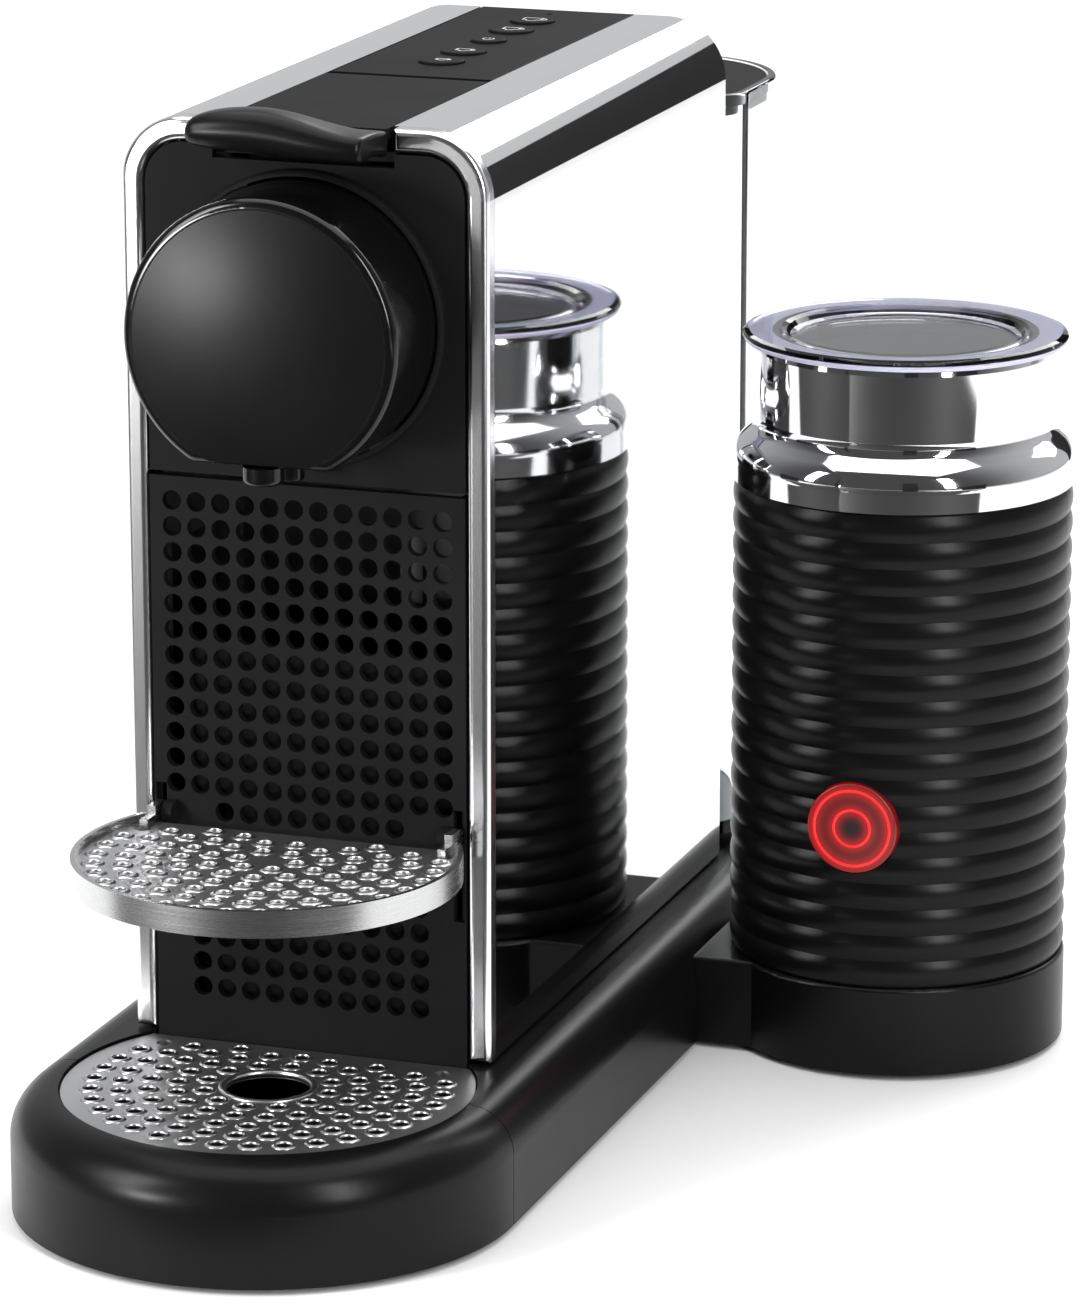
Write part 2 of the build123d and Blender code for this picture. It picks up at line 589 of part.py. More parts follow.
def brew_frame():
    """Bed the capsule cage slides in, and the yoke that carries the outlet plate."""
    bed = block(-25.0, 25.0, 38.0, 80.0, 188.0, 216.0)
    bed -= along_y(Pos(0, HEAD_Z) * Circle(CAGE_R + 0.5), 30.0, 90.0)
    bed -= both_sides(block(6.0, 18.0, 44.0, 74.0, 180.0, 201.0))
    yoke = along_y(Pos(0, HEAD_Z) * (Circle(27.0) - Circle(22.2)), 7.0, 9.8)
    rails = both_sides(block(22.4, 25.6, 7.0, 40.0, 188.0, 222.0))
    return bed + yoke + rails


def extraction_plate():
    disc = rod_y(22.0, 3.0, 9.4, 0, HEAD_Z) - rod_y(18.0, 4.6, 7.6, 0, HEAD_Z)
    for i in range(-3, 4):
        for j in range(-3, 4):
            if i * i + j * j < 12:
                disc += Pos(4.4 * i, 9.2, HEAD_Z + 4.4 * j) * Box(2.4, 1.6, 2.4)
    duct = block(-4.5, 4.5, 1.9, 5.5, 199.0, 209.0)
    duct -= block(-2.5, 2.5, 0, 4.2, 199.5, 206.0)
    return disc + duct


def capsule_cage():
    barrel = rod_y(CAGE_R, CAGE_Y0, CAGE_Y1, 0, HEAD_Z)
    barrel = fillet(barrel.edges().sort_by(Axis.Y)[-1], 1.5)
    bell = rod_y(15.6, CAGE_Y0 - 1, CAGE_Y0 + 8, 0, HEAD_Z)
    bell += rod_y(13.5, CAGE_Y0 + 7, CAGE_Y0 + 27, 0, HEAD_Z)
    neck = block(-8, 8, 40.0, 58.5, 236.0, 249.0)
    neck = fillet(neck.edges().filter_by(Axis.X).group_by(Axis.Y)[-1], 4.0)
    port = rod_y(5.0, CAGE_Y1 - 1, CAGE_Y1 + 8, 0, HEAD_Z - 6)
    needles = [rod_y(1.0, CAGE_Y0 + 22, CAGE_Y0 + 30, 6 * math.cos(a), HEAD_Z + 6 * math.sin(a))
               for a in (math.pi / 2, math.pi * 7 / 6, math.pi * 11 / 6)]
    body = barrel + neck + port - bell
    body += needles
    body += rod_x(CAGE_PIN_R, -CHEEK_OUT, CHEEK_OUT, CAGE_PIN_Y, CAGE_PIN_Z)
    return body


def pump_body():
    tube = rod_y(10.0, 88.0, 152.0, 0, PUMP_Z) - rod_y(6.0, 92.0, 148.0, 0, PUMP_Z)
    inlet = rod_y(3.2, 152.0, 162.0, 0, PUMP_Z)
    outlet = rod_y(3.2, 85.2, 88.5, 0, PUMP_Z)
    return tube + inlet + outlet - rod_y(1.4, 80, 93, 0, PUMP_Z) - rod_y(1.4, 147, 170, 0, PUMP_Z)


def pump_coil():
    yoke = block(-17, 17, 100.0, 138.0, PUMP_Z - 17, PUMP_Z + 17)
    yoke = fillet(yoke.edges().filter_by(Axis.Y), 2.0)
    yoke -= rod_y(10.0, 90, 145, 0, PUMP_Z)
    window = block(-20, 20, 104.0, 134.0, PUMP_Z - 13.5, PUMP_Z + 13.5)
    winding = rod_y(13.2, 104.0, 134.0, 0, PUMP_Z) - rod_y(10.0, 100, 140, 0, PUMP_Z)
    tags = both_sides(block(2, 8, 115, 116, PUMP_Z + 16, PUMP_Z + 24))
    return yoke - window + winding + tags


def pump_piston():
    piston = rod_y(6.0 - RUN, 104.0, 132.0, 0, PUMP_Z) + rod_y(2.4, 96.0, 105.0, 0, PUMP_Z)
    return piston - rod_y(1.4, 90, 140, 0, PUMP_Z)


def pump_mounts():
    rings = [rod_y(15.0, y, y + 5, 0, PUMP_Z) - rod_y(10.0, y - 1, y + 6, 0, PUMP_Z) for y in (90.0, 143.0)]
    return Part() + rings


def thermoblock():
    slab = block(-26, 26, 90, 160, 66.0, HEATER_TOP)
    slab = fillet(slab.edges().filter_by(Axis.Z), 8.0)
    slab -= heater_run(3.1)
    for x in (-18.0, 18.0):
        for y in (98.0, 152.0):
            slab += post(4.0, 56.4, 66.5, x, y)
    slab += rod_y(4.0, 84.6, 91.0, 0, HEATER_PORT_Z) + rod_y(3.2, 159.0, 166.0, 0, 74.0)
    return slab - rod_y(1.5, 80, 100, 0, HEATER_PORT_Z) - rod_y(1.5, 150, 170, 0, 74.0)


def heater_run(radius):
    """A tube bent to a U, lying along the top of the water heater."""
    bend = 14.0
    turn_y = 108.0
    legs = rod_y(radius, turn_y, 172.0, -bend, HEATER_TOP) + rod_y(radius, turn_y, 172.0, bend, HEATER_TOP)
    loop = Pos(0, turn_y, HEATER_TOP) * Torus(bend, radius)
    return legs + (loop & block(-40, 40, 60, turn_y, 80, 110))


def heating_element():
    tube = heater_run(3.0)
    return tube + rod_y(1.2, 172.0, 179.0, -14.0, HEATER_TOP) + rod_y(1.2, 172.0, 179.0, 14.0, HEATER_TOP)


def flow_meter():
    x, y, z = METER
    cup = post(13.0, z, z + 16.0, x, y) - post(11.2, z + 2.0, z + 14.0, x, y)
    axle = post(1.0, z + 1.0, z + 15.0, x, y)
    ports = post(3.2, 50.2, z + 1, x - 7, y) + rod_y(3.2, y - 17.8, y - 10, x - 7, z + 8)
    ports -= post(1.8, 40, z + 3, x - 7, y) + rod_y(1.8, y - 20.0, y - 8, x - 7, z + 8)
    ports -= post(11.2, z + 2.0, z + 14.0, x, y)
    return cup + axle + ports


def flow_wheel():
    x, y, z = METER
    wheel = post(3.0, z + 3.0, z + 13.0, x, y)
    for k in range(6):
        wheel += Pos(x, y, z + 8.0) * Rot(0, 0, 60 * k) * Pos(6.2, 0, 0) * Box(8.4, 1.2, 8.0)
    return wheel - post(1.0 + RUN, z, z + 20, x, y)


def power_board():
    board = block(40.0, 41.6, 92, 182, 60, 122)
    board += block(26.5, 40.0, 164, 182, 66, 96) + block(33.0, 40.0, 128, 144, 102, 118)
    board += block(30.0, 40.0, 100, 112, 104, 118) + rod_x(5.0, 28.0, 40.0, 120, 110)
    board += block(41.6, 45.4, 96, 100, 64, 68) + block(41.6, 45.4, 174, 178, 112, 116)
    return board


def bent_tube(points, bends):
    path = FilletPolyline(*points, radius=bends)
    start = Plane(origin=path @ 0, z_dir=path % 0)
    return sweep(start * (Circle(TUBE_R) - Circle(TUBE_R - TUBE_WALL)), path)


def water_tubes():
    x, y, z = METER
    port_x = x - 7
    pump_run = bent_tube([(port_x, y - 18.0, z + 8), (port_x, 148.0, z + 8), (port_x, 148.0, 112.0),
                          (port_x, TUBE_BACK_Y, 112.0), (port_x, TUBE_BACK_Y, PUMP_Z),
                          (0, TUBE_BACK_Y, PUMP_Z), (0, 162.0, PUMP_Z)], 6.0)
    heat_run = bent_tube([(0, 85.0, PUMP_Z), (0, 78.0, PUMP_Z), (0, 78.0, HEATER_PORT_Z),
                          (0, 84.4, HEATER_PORT_Z)], 5.0)
    tank_run = bent_tube([(0, SEAT_Y, BASE_TOP - 0.2), (0, SEAT_Y, 20.0), (port_x, y, 20.0),
                          (port_x, y, 50.0)], 5.0)
    return pump_run + heat_run + tank_run


def rear_cover():
    plate = along_y(arch(COVER_T + 0.2), BODY_BACK - 2.6, BODY_BACK)
    plate -= block(-SLOT_HALF - 0.1, SLOT_HALF + 0.1, 190, 210, BODY_TOP - 2.3, 300)
    for row in range(8):
        plate -= block(-16, 16, 190, 210, 200.0 + 6 * row, 203.0 + 6 * row)
    return plate


# ---- tank ---------------------------------------------------------------------
def tank_plan(inset=0.0):
    shape = rect(-TANK_HALF + inset, TANK_HALF - inset, TANK_Y0 + inset, TANK_Y1 - inset)
    shape = fillet(shape.vertices().group_by(Axis.Y)[-1], 38.0 - inset)
    return fillet(shape.vertices().group_by(Axis.Y)[0], 15.0 - inset)


def slab_of(plan, z0, z1):
    return extrude(Pos(0, 0, z0) * plan, z1 - z0)


def water_tank():
    tank = slab_of(tank_plan(), TANK_Z0, TANK_TOP)
    top = tank.faces().sort_by(Axis.Z)[-1]
    tank = fillet(top.outer_wire().edges(), 0.9)
    tank -= slab_of(tank_plan(TANK_WALL), TANK_Z0 + 3.0, 300)
    tank -= slab_of(tank_plan(2.2), TANK_LEDGE, 300)
    return tank - post(4.6, 0, 60, 0, SEAT_Y)


def tank_lid():
    lid = slab_of(tank_plan(2.6), TANK_LEDGE + 0.1, TANK_TOP - 0.4)
    lid = fillet(lid.faces().sort_by(Axis.Z)[-1].outer_wire().edges(), 0.5)
    skirt = slab_of(tank_plan(TANK_WALL + 0.5), 247.6, 251.0)
    skirt -= slab_of(tank_plan(TANK_WALL + 2.0), 0, TANK_LEDGE + 0.4)
    fill_door = rect(-16, 16, 222, 262)
    fill_door = fillet(fill_door.vertices(), 9)
    groove = slab_of(fill_door, TANK_TOP - 1.2, 260) - slab_of(offset(fill_door, -1.0), 240, 260)
    return lid + skirt - groove


def tank_seat():
    plinth = slab_of(tank_plan(2.5), BASE_TOP, TANK_Z0 - 0.4)
    collar = post(8.0, BASE_TOP, TANK_Z0 - 0.4, 0, SEAT_Y)
    return plinth + collar - post(6.2, 0, 60, 0, SEAT_Y)


def tank_seal():
    return turned([(3.2, BASE_TOP), (6.2, BASE_TOP), (6.2, TANK_Z0 - 0.5), (4.6, TANK_Z0 - 0.5),
                   (3.2, BASE_TOP + 1.0)], 0, SEAT_Y)


def tank_valve():
    guide, step_z = 4.3, TANK_Z0 + 0.3
    return turned([(0, 35.2), (2.4, 35.2), (2.4, step_z), (guide, step_z), (guide, 39.7), (6.4, 39.7),
                   (6.4, 41.4), (2.6, 43.0), (2.0, 50.0), (0, 50.0)], 0, SEAT_Y)


# ---- frother ------------------------------------------------------------------
def dock_contact():
    """Round contact the frother stands on, with a ring groove and a centre pin."""
    hub = turned([(0, DOCK_RECESS_Z), (14, DOCK_RECESS_Z), (14, 21.4), (13.2, 22.2), (0, 22.2)],
                 DOCK_X, DOCK_Y)
    ring = post(9.0, 20.6, 30, DOCK_X, DOCK_Y) - post(6.5, 0, 30, DOCK_X, DOCK_Y)
    return hub - ring + post(1.2, 22.0, 23.4, DOCK_X, DOCK_Y)


def rib_outline():
    """Outside of the jug in (radius, z), from its foot to the collar: one arc per rib."""
    pitch = (JUG_RIB_TOP - JUG_Z0) / JUG_RIBS
    edges = []
    for k in range(JUG_RIBS):
        z0 = JUG_Z0 + k * pitch
        edges.append(ThreePointArc((JUG_VALLEY_R, z0), (JUG_R, z0 + pitch / 2), (JUG_VALLEY_R, z0 + pitch)))
    return edges


def jug_body():
    outline = rib_outline()
    walls = Polyline((JUG_VALLEY_R, JUG_RIB_TOP), (JUG_R - 0.2, COLLAR_Z0 - 0.1),
                     (JUG_INNER_R, COLLAR_Z0 - 0.1), (JUG_INNER_R, 31.0), (15.0, 31.0), (15.0, 18.8),
                     (JUG_FOOT_R, 18.8), (JUG_FOOT_R, JUG_Z0), (JUG_VALLEY_R, JUG_Z0))
    section = make_face(outline + list(walls.edges()))
    jug = Pos(DOCK_X, DOCK_Y, 0) * revolve(Plane.XZ * section, Axis.Z)
    jug += post(15.4, 24.4, 31.0, DOCK_X, DOCK_Y) - post(1.6, 0, 30, DOCK_X, DOCK_Y)
    return jug - rod_y(JUG_BUTTON_R + 0.3, DOCK_Y - 60, DOCK_Y - 30, DOCK_X, JUG_BUTTON_Z)


def jug_collar():
    skirt = Line((46.9, COLLAR_Z0), (46.9, 165.0))
    shoulder = Spline((46.9, 165.0), (46.3, 168.6), (44.3, 171.4), (42.2, 173.4), (NECK_R, 177.5))
    rest = Polyline((NECK_R, 177.5), (NECK_R, COLLAR_TOP - 1.2), (41.0, COLLAR_TOP), (40.2, COLLAR_TOP),
                    (39.7, 176.5), (40.6, 172.8), (44.4, 168.0), (45.0, 165.0), (45.0, COLLAR_Z0),
                    (46.9, COLLAR_Z0))
    section = make_face([skirt.edge(), shoulder.edge()] + list(rest.edges()))
    return Pos(DOCK_X, DOCK_Y, 0) * revolve(Plane.XZ * section, Axis.Z)


def jug_bowl():
    """Coated bowl that holds the milk, with the spindle the whisk turns on."""
    spindle = post(SPINDLE_R, 66.5, 86.0, DOCK_X, DOCK_Y)
    inside = BOWL_R - 0.9
    bowl = turned([(0, 66.0), (30, 66.0), (36.5, 68.5), (BOWL_R, 74.0), (BOWL_R, COLLAR_TOP - 1.0),
                   (39.8, COLLAR_TOP), (39.8, COLLAR_TOP + 0.6), (inside, COLLAR_TOP + 0.6), (inside, 74.6),
                   (35.8, 69.6), (30, 67.0), (0, 67.0)], DOCK_X, DOCK_Y)
    return bowl + spindle


def jug_motor():
    heater = turned([(0, 60.0), (33, 60.0), (33, 65.9), (0, 65.9)], DOCK_X, DOCK_Y)
    motor = post(13.0, 31.1, 52.0, DOCK_X, DOCK_Y) + post(2.0, 52.0, 54.0, DOCK_X, DOCK_Y)
    magnets = post(12.0, 54.0, 59.0, DOCK_X, DOCK_Y) - post(7.5, 55.5, 60.0, DOCK_X, DOCK_Y)
    posts = Part()
    for angle in (45, 135, 225, 315):
        x = DOCK_X + 28 * math.cos(math.radians(angle))
        y = DOCK_Y + 28 * math.sin(math.radians(angle))
        posts += post(2.6, 31.1, 60.2, x, y)
    return heater + posts + motor + magnets


def jug_button():
    face = DOCK_Y - JUG_R - 0.4
    cap = rod_y(JUG_BUTTON_R, face, DOCK_Y - 42.6, DOCK_X, JUG_BUTTON_Z)
    cap = fillet(cap.edges().sort_by(Axis.Y)[0], 0.6)
    cap -= rod_y(JUG_BUTTON_R - 2.0, face + 2.0, DOCK_Y - 40, DOCK_X, JUG_BUTTON_Z)
    return cap + rod_y(2.0, face + 1.5, DOCK_Y - 40.4, DOCK_X, JUG_BUTTON_Z)


def jug_lid():
    plug_r, pane = 36.4, 198.6
    return turned([(0, pane), (30.5, pane), (31.6, 199.2), (32.6, 200.4), (34.0, LID_TOP), (42.8, LID_TOP),
                   (44.1, 200.6), (LID_R, 199.9), (LID_R, 199.5), (42.9, 199.3), (plug_r, 199.3),
                   (plug_r, 191.0), (plug_r - 1.8, 191.0), (plug_r - 1.8, 197.4), (30.5, 196.8), (0, 196.8)],
                  DOCK_X, DOCK_Y)


def lid_seal():
    low = COLLAR_TOP + 0.7
    return turned([(36.5, low + 0.3), (37.0, low), (43.4, low), (44.1, low + 0.4), (44.1, low + 1.0),
                   (43.4, low + 1.3), (36.5, low + 1.3)], DOCK_X, DOCK_Y)


def whisk():
    """Hub, three spokes and the ring of the whisk, turning on the bowl's spindle."""
    bore = SPINDLE_R + RUN
    hub = turned([(bore, 68.2), (7.0, 68.2), (7.0, 73.0), (2.2, 75.0), (2.2, 84.0), (bore, 84.0)],
                 DOCK_X, DOCK_Y)
    centre = Pos(DOCK_X, DOCK_Y, 80.0)
    spoke = Pos(7.4, 0, 0) * Rot(0, 90, 0) * Cylinder(0.8, 11.4)
    spokes = Part()
    for angle in (0, 120, 240):
        spokes += centre * Rot(0, 0, angle) * spoke
    return hub + spokes + centre * Torus(13.0, 1.5) - post(bore, 60, 90, DOCK_X, DOCK_Y)


# ---- export -------------------------------------------------------------------
def all_nodes():
    nodes = {
        "base_housing": base_housing(), "base_bottom_plate": base_bottom_plate(),
        "rubber_feet": rubber_feet(), "base_screws": base_screws(), "cord_gland": cord_gland(),
        "left_side_cover": side_cover(-1), "right_side_cover": side_cover(1),
        "left_front_trim": front_trim(-1), "right_front_trim": front_trim(1),
        "front_panel": front_panel(), "head_cover": head_cover(),
        "head_disc": head_disc(), "coffee_outlet": coffee_outlet(),
        "top_panel": top_panel(), "control_board": control_board(),
        "lever_plate": lever_plate(), "lever_grip": lever_grip(), "lever_cheeks": lever_cheeks(),
        "lever_pin": lever_pin(), "slot_plate": slot_plate(),
        "inner_frame": inner_frame(), "brew_frame": brew_frame(), "extraction_plate": extraction_plate(),
        "capsule_cage": capsule_cage(), "pump_body": pump_body(), "pump_coil": pump_coil(),
        "pump_piston": pump_piston(), "pump_mounts": pump_mounts(), "thermoblock": thermoblock(),
        "heating_element": heating_element(),
        "flow_meter": flow_meter(), "flow_wheel": flow_wheel(), "power_board": power_board(),
        "water_tubes": water_tubes(), "rear_cover": rear_cover(),
        "water_tank": water_tank(), "tank_lid": tank_lid(), "tank_seat": tank_seat(),
        "tank_seal": tank_seal(), "tank_valve": tank_valve(),
        "drip_base": drip_base(), "drip_grid": drip_grid(), "capsule_container": capsule_container(),
        "grille_panel": grille_panel(),
        "cup_support_ring": cup_support_ring(), "cup_support_grid": cup_support_grid(),
        "dock_contact": dock_contact(), "jug_body": jug_body(), "jug_collar": jug_collar(),
        "jug_bowl": jug_bowl(), "jug_motor": jug_motor(), "jug_button": jug_button(),
        "jug_lid": jug_lid(), "lid_seal": lid_seal(), "whisk": whisk(),
    }
    for name, (y, radius) in BUTTONS.items():
        nodes[name] = push_button(y, radius)
    return nodes


os.makedirs("parts", exist_ok=True)
for name, shape in all_nodes().items():
    export_step(TO_ORIGIN * shape, f"parts/{name}.step")
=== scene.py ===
import json
import math

import bmesh
import bpy
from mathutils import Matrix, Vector


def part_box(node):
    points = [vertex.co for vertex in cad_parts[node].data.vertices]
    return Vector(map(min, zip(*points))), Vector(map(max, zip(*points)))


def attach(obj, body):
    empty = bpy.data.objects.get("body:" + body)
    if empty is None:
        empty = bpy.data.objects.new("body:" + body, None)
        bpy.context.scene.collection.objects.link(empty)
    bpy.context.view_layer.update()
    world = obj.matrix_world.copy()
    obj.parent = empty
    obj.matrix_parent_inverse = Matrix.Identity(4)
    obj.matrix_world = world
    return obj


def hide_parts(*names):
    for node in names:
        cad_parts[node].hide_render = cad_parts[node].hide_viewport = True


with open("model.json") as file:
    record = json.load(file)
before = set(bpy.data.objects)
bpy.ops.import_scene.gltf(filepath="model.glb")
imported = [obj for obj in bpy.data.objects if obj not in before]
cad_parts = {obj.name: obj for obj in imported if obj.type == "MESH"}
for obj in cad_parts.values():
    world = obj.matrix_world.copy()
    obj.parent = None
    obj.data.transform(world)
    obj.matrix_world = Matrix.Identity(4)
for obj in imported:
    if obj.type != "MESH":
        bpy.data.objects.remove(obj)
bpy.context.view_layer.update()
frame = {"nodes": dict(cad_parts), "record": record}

MM = 0.001
MIDDLE = (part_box("top_panel")[0].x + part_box("top_panel")[1].x) / 2     # middle of the tall body
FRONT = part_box("left_front_trim")[0].y                                 # its front face


def at(x, y, z):
    """A point given in millimetres from the body's middle, its front face and the worktop."""
    return Vector((MIDDLE + x * MM, FRONT + y * MM, z * MM))


# ---- shader groups ------------------------------------------------------------
def start_group(name, inputs, outputs):
    group = bpy.data.node_groups.new(name, "ShaderNodeTree")
    for label, value in inputs.items():
        kind = "NodeSocketVector" if isinstance(value, tuple) else "NodeSocketFloat"
        group.interface.new_socket(label, in_out="INPUT", socket_type=kind).default_value = value
    for label in outputs:
        group.interface.new_socket(label, in_out="OUTPUT", socket_type="NodeSocketFloat")
    return group, group.nodes.new("NodeGroupInput"), group.nodes.new("NodeGroupOutput")


def add_node(tree, kind, **values):
    """A node with its plain properties and its unlinked sockets set."""
    node = tree.nodes.new(kind)
    for key, value in values.items():
        if key in node.inputs:
            node.inputs[key].default_value = value
        else:
            setattr(node, key, value)
    return node


def math_node(tree, operation, first, second):
    node = add_node(tree, "ShaderNodeMath", operation=operation)
    for socket, value in zip(node.inputs, (first, second)):
        if isinstance(value, (int, float)):
            socket.default_value = value
        else:
            tree.links.new(value, socket)
    return node.outputs[0]


def stretched_noise(tree, scale, size, detail=2.0, stretch=None):
    """Noise in the object's own metres; scale and stretch may be sockets."""
    place = tree.nodes.new("ShaderNodeTexCoord")
    spread = add_node(tree, "ShaderNodeVectorMath", operation="MULTIPLY")
    tree.links.new(place.outputs["Object"], spread.inputs[0])
    if stretch is None:
        spread.inputs[1].default_value = (1, 1, 1)
    elif isinstance(stretch, tuple):
        spread.inputs[1].default_value = stretch
    else:
        tree.links.new(stretch, spread.inputs[1])
    noise = add_node(tree, "ShaderNodeTexNoise", Scale=size, Detail=detail)
    if scale is not None:
        tree.links.new(scale, noise.inputs["Scale"])
    tree.links.new(spread.outputs[0], noise.inputs["Vector"])
    return noise.outputs["Fac"]


def moulded_grain_group():
    """Fine spark-eroded mould texture, and a gloss that wanders a little over the piece."""
    inputs = {"Grain": 2400.0, "Gloss": 0.4, "Wander": 0.08}
    group, given, result = start_group("moulded_grain", inputs, ("Height", "Roughness"))
    fine = stretched_noise(group, given.outputs["Grain"], 2400.0, 3.0)
    broad = stretched_noise(group, None, 34.0, 3.0)
    offset = math_node(group, "SUBTRACT", broad, 0.5)
    offset = math_node(group, "MULTIPLY", offset, given.outputs["Wander"])
    fine_offset = math_node(group, "MULTIPLY", math_node(group, "SUBTRACT", fine, 0.5), 0.06)
    rough = math_node(group, "ADD", math_node(group, "ADD", given.outputs["Gloss"], offset), fine_offset)
    group.links.new(fine, result.inputs["Height"])
    group.links.new(rough, result.inputs["Roughness"])
    return group


def wiped_polish_group():
    """The faint haze and wiping marks that a polished surface keeps."""
    inputs = {"Gloss": 0.04, "Haze": 0.05, "Wipe": (40.0, 40.0, 9.0)}
    group, given, result = start_group("wiped_polish", inputs, ("Height", "Roughness"))
    wipes = stretched_noise(group, None, 1.0, 4.0, given.outputs["Wipe"])
    patches = stretched_noise(group, None, 9.0, 2.0)
    haze = math_node(group, "MULTIPLY", math_node(group, "MULTIPLY", wipes, patches), given.outputs["Haze"])
    group.links.new(patches, result.inputs["Height"])
    group.links.new(math_node(group, "ADD", given.outputs["Gloss"], haze), result.inputs["Roughness"])
    return group


def brushed_lines_group():
    """Fine lines left by a brushing belt, along whichever way Lines is short."""
    inputs = {"Gloss": 0.28, "Depth": 0.2, "Lines": (60.0, 60.0, 5000.0)}
    group, given, result = start_group("brushed_lines", inputs, ("Height", "Roughness", "Tone"))
    lines = stretched_noise(group, None, 1.0, 4.0, given.outputs["Lines"])
    offset = math_node(group, "MULTIPLY", math_node(group, "SUBTRACT", lines, 0.5), given.outputs["Depth"])
    group.links.new(lines, result.inputs["Height"])
    group.links.new(lines, result.inputs["Tone"])
    group.links.new(math_node(group, "ADD", given.outputs["Gloss"], offset), result.inputs["Roughness"])
    return group


def tone_patches_group():
    """A mask of soft patches, for colour that isn't quite even."""
    group, given, result = start_group("tone_patches", {"Patch Size": 30.0, "Contrast": 1.0}, ("Mask",))
    patches = stretched_noise(group, given.outputs["Patch Size"], 30.0, 4.0)
    centred = math_node(group, "SUBTRACT", patches, 0.5)
    centred = math_node(group, "MULTIPLY", centred, given.outputs["Contrast"])
    group.links.new(math_node(group, "ADD", centred, 0.5), result.inputs["Mask"])
    return group


GROUPS = {
    "moulded_grain": moulded_grain_group(),
    "wiped_polish": wiped_polish_group(),
    "brushed_lines": brushed_lines_group(),
    "tone_patches": tone_patches_group(),
}


# ---- materials ----------------------------------------------------------------
MATERIALS = {}            # every finish, by the name it was made with


def start_material(name, **values):
    material = bpy.data.materials.new(name)
    MATERIALS[name] = material
    material.use_nodes = True
    shader = material.node_tree.nodes["Principled BSDF"]
    for label, value in values.items():
        shader.inputs[label.replace("_", " ")].default_value = value
    return material, material.node_tree, shader


def place_group(tree, name, **values):
    node = tree.nodes.new("ShaderNodeGroup")
    node.node_tree = GROUPS[name]
    for label, value in values.items():
        node.inputs[label.replace("_", " ")].default_value = value
    return node


def relief(tree, shader, height, strength, depth):
    bump = add_node(tree, "ShaderNodeBump", Strength=strength, Distance=depth)
    tree.links.new(height, bump.inputs["Height"])
    tree.links.new(bump.outputs["Normal"], shader.inputs["Normal"])


def two_tones(tree, shader, mask, first, second):
    mix = add_node(tree, "ShaderNodeMix", data_type="RGBA")
    for socket, colour in ((mix.inputs[6], first), (mix.inputs[7], second)):
        socket.default_value = (*colour, 1)
    tree.links.new(mask, mix.inputs[0])
    tree.links.new(mix.outputs[2], shader.inputs["Base Color"])


def moulded_plastic(name, dark, light, gloss, grain=2400.0, strength=0.16, wander=0.08, patch=30.0,
                    **values):
    """Moulded plastic: two close tones, fine grain, uneven gloss."""
    material, tree, shader = start_material(name, **values)
    texture = place_group(tree, "moulded_grain", Grain=grain, Gloss=gloss, Wander=wander)
    tree.links.new(texture.outputs["Roughness"], shader.inputs["Roughness"])
    relief(tree, shader, texture.outputs["Height"], strength, 0.00008)
    patches = place_group(tree, "tone_patches", Patch_Size=patch, Contrast=1.4)
    two_tones(tree, shader, patches.outputs["Mask"], dark, light)
    return material


def polished_metal(name, dark, light, gloss, haze, wipe, **values):
    """Mirror-bright metal with the haze of a wiped surface."""
    material, tree, shader = start_material(name, Metallic=1.0, **values)
    texture = place_group(tree, "wiped_polish", Gloss=gloss, Haze=haze, Wipe=wipe)
    tree.links.new(texture.outputs["Roughness"], shader.inputs["Roughness"])
    patches = place_group(tree, "tone_patches", Patch_Size=12.0, Contrast=1.0)
    two_tones(tree, shader, patches.outputs["Mask"], dark, light)
    return material


def brushed_metal(name, dark, light, gloss, depth, lines, **values):
    """Metal with belt-brushed lines in its gloss, tone and relief."""
    material, tree, shader = start_material(name, Metallic=1.0, **values)
    texture = place_group(tree, "brushed_lines", Gloss=gloss, Depth=depth, Lines=lines)
    tree.links.new(texture.outputs["Roughness"], shader.inputs["Roughness"])
    relief(tree, shader, texture.outputs["Height"], 0.12, 0.00005)
    two_tones(tree, shader, texture.outputs["Tone"], dark, light)
    return material


def clear_moulding(name, colour, gloss, index):
    """Clear moulded plastic, with the slight flow waves of the moulding, and painted shade that darkens its tint
    towards the silhouettes.
    """
    material, tree, shader = start_material(name, Transmission_Weight=1.0, IOR=index)
    # painted shade: where the surface turns edge-on, the tint darkens to 0.42 of its colour, standing in for the
    # longer path through the wall
    edge_on = add_node(tree, "ShaderNodeLayerWeight", Blend=0.35)
    painted_edge_shade = math_node(tree, "POWER", edge_on.outputs["Facing"], 2.0)
    two_tones(tree, shader, painted_edge_shade, colour, tuple(0.42 * part for part in colour))
    texture = place_group(tree, "wiped_polish", Gloss=gloss, Haze=0.03, Wipe=(30.0, 30.0, 12.0))
    tree.links.new(texture.outputs["Roughness"], shader.inputs["Roughness"])
    relief(tree, shader, texture.outputs["Height"], 0.04, 0.0004)
    return material


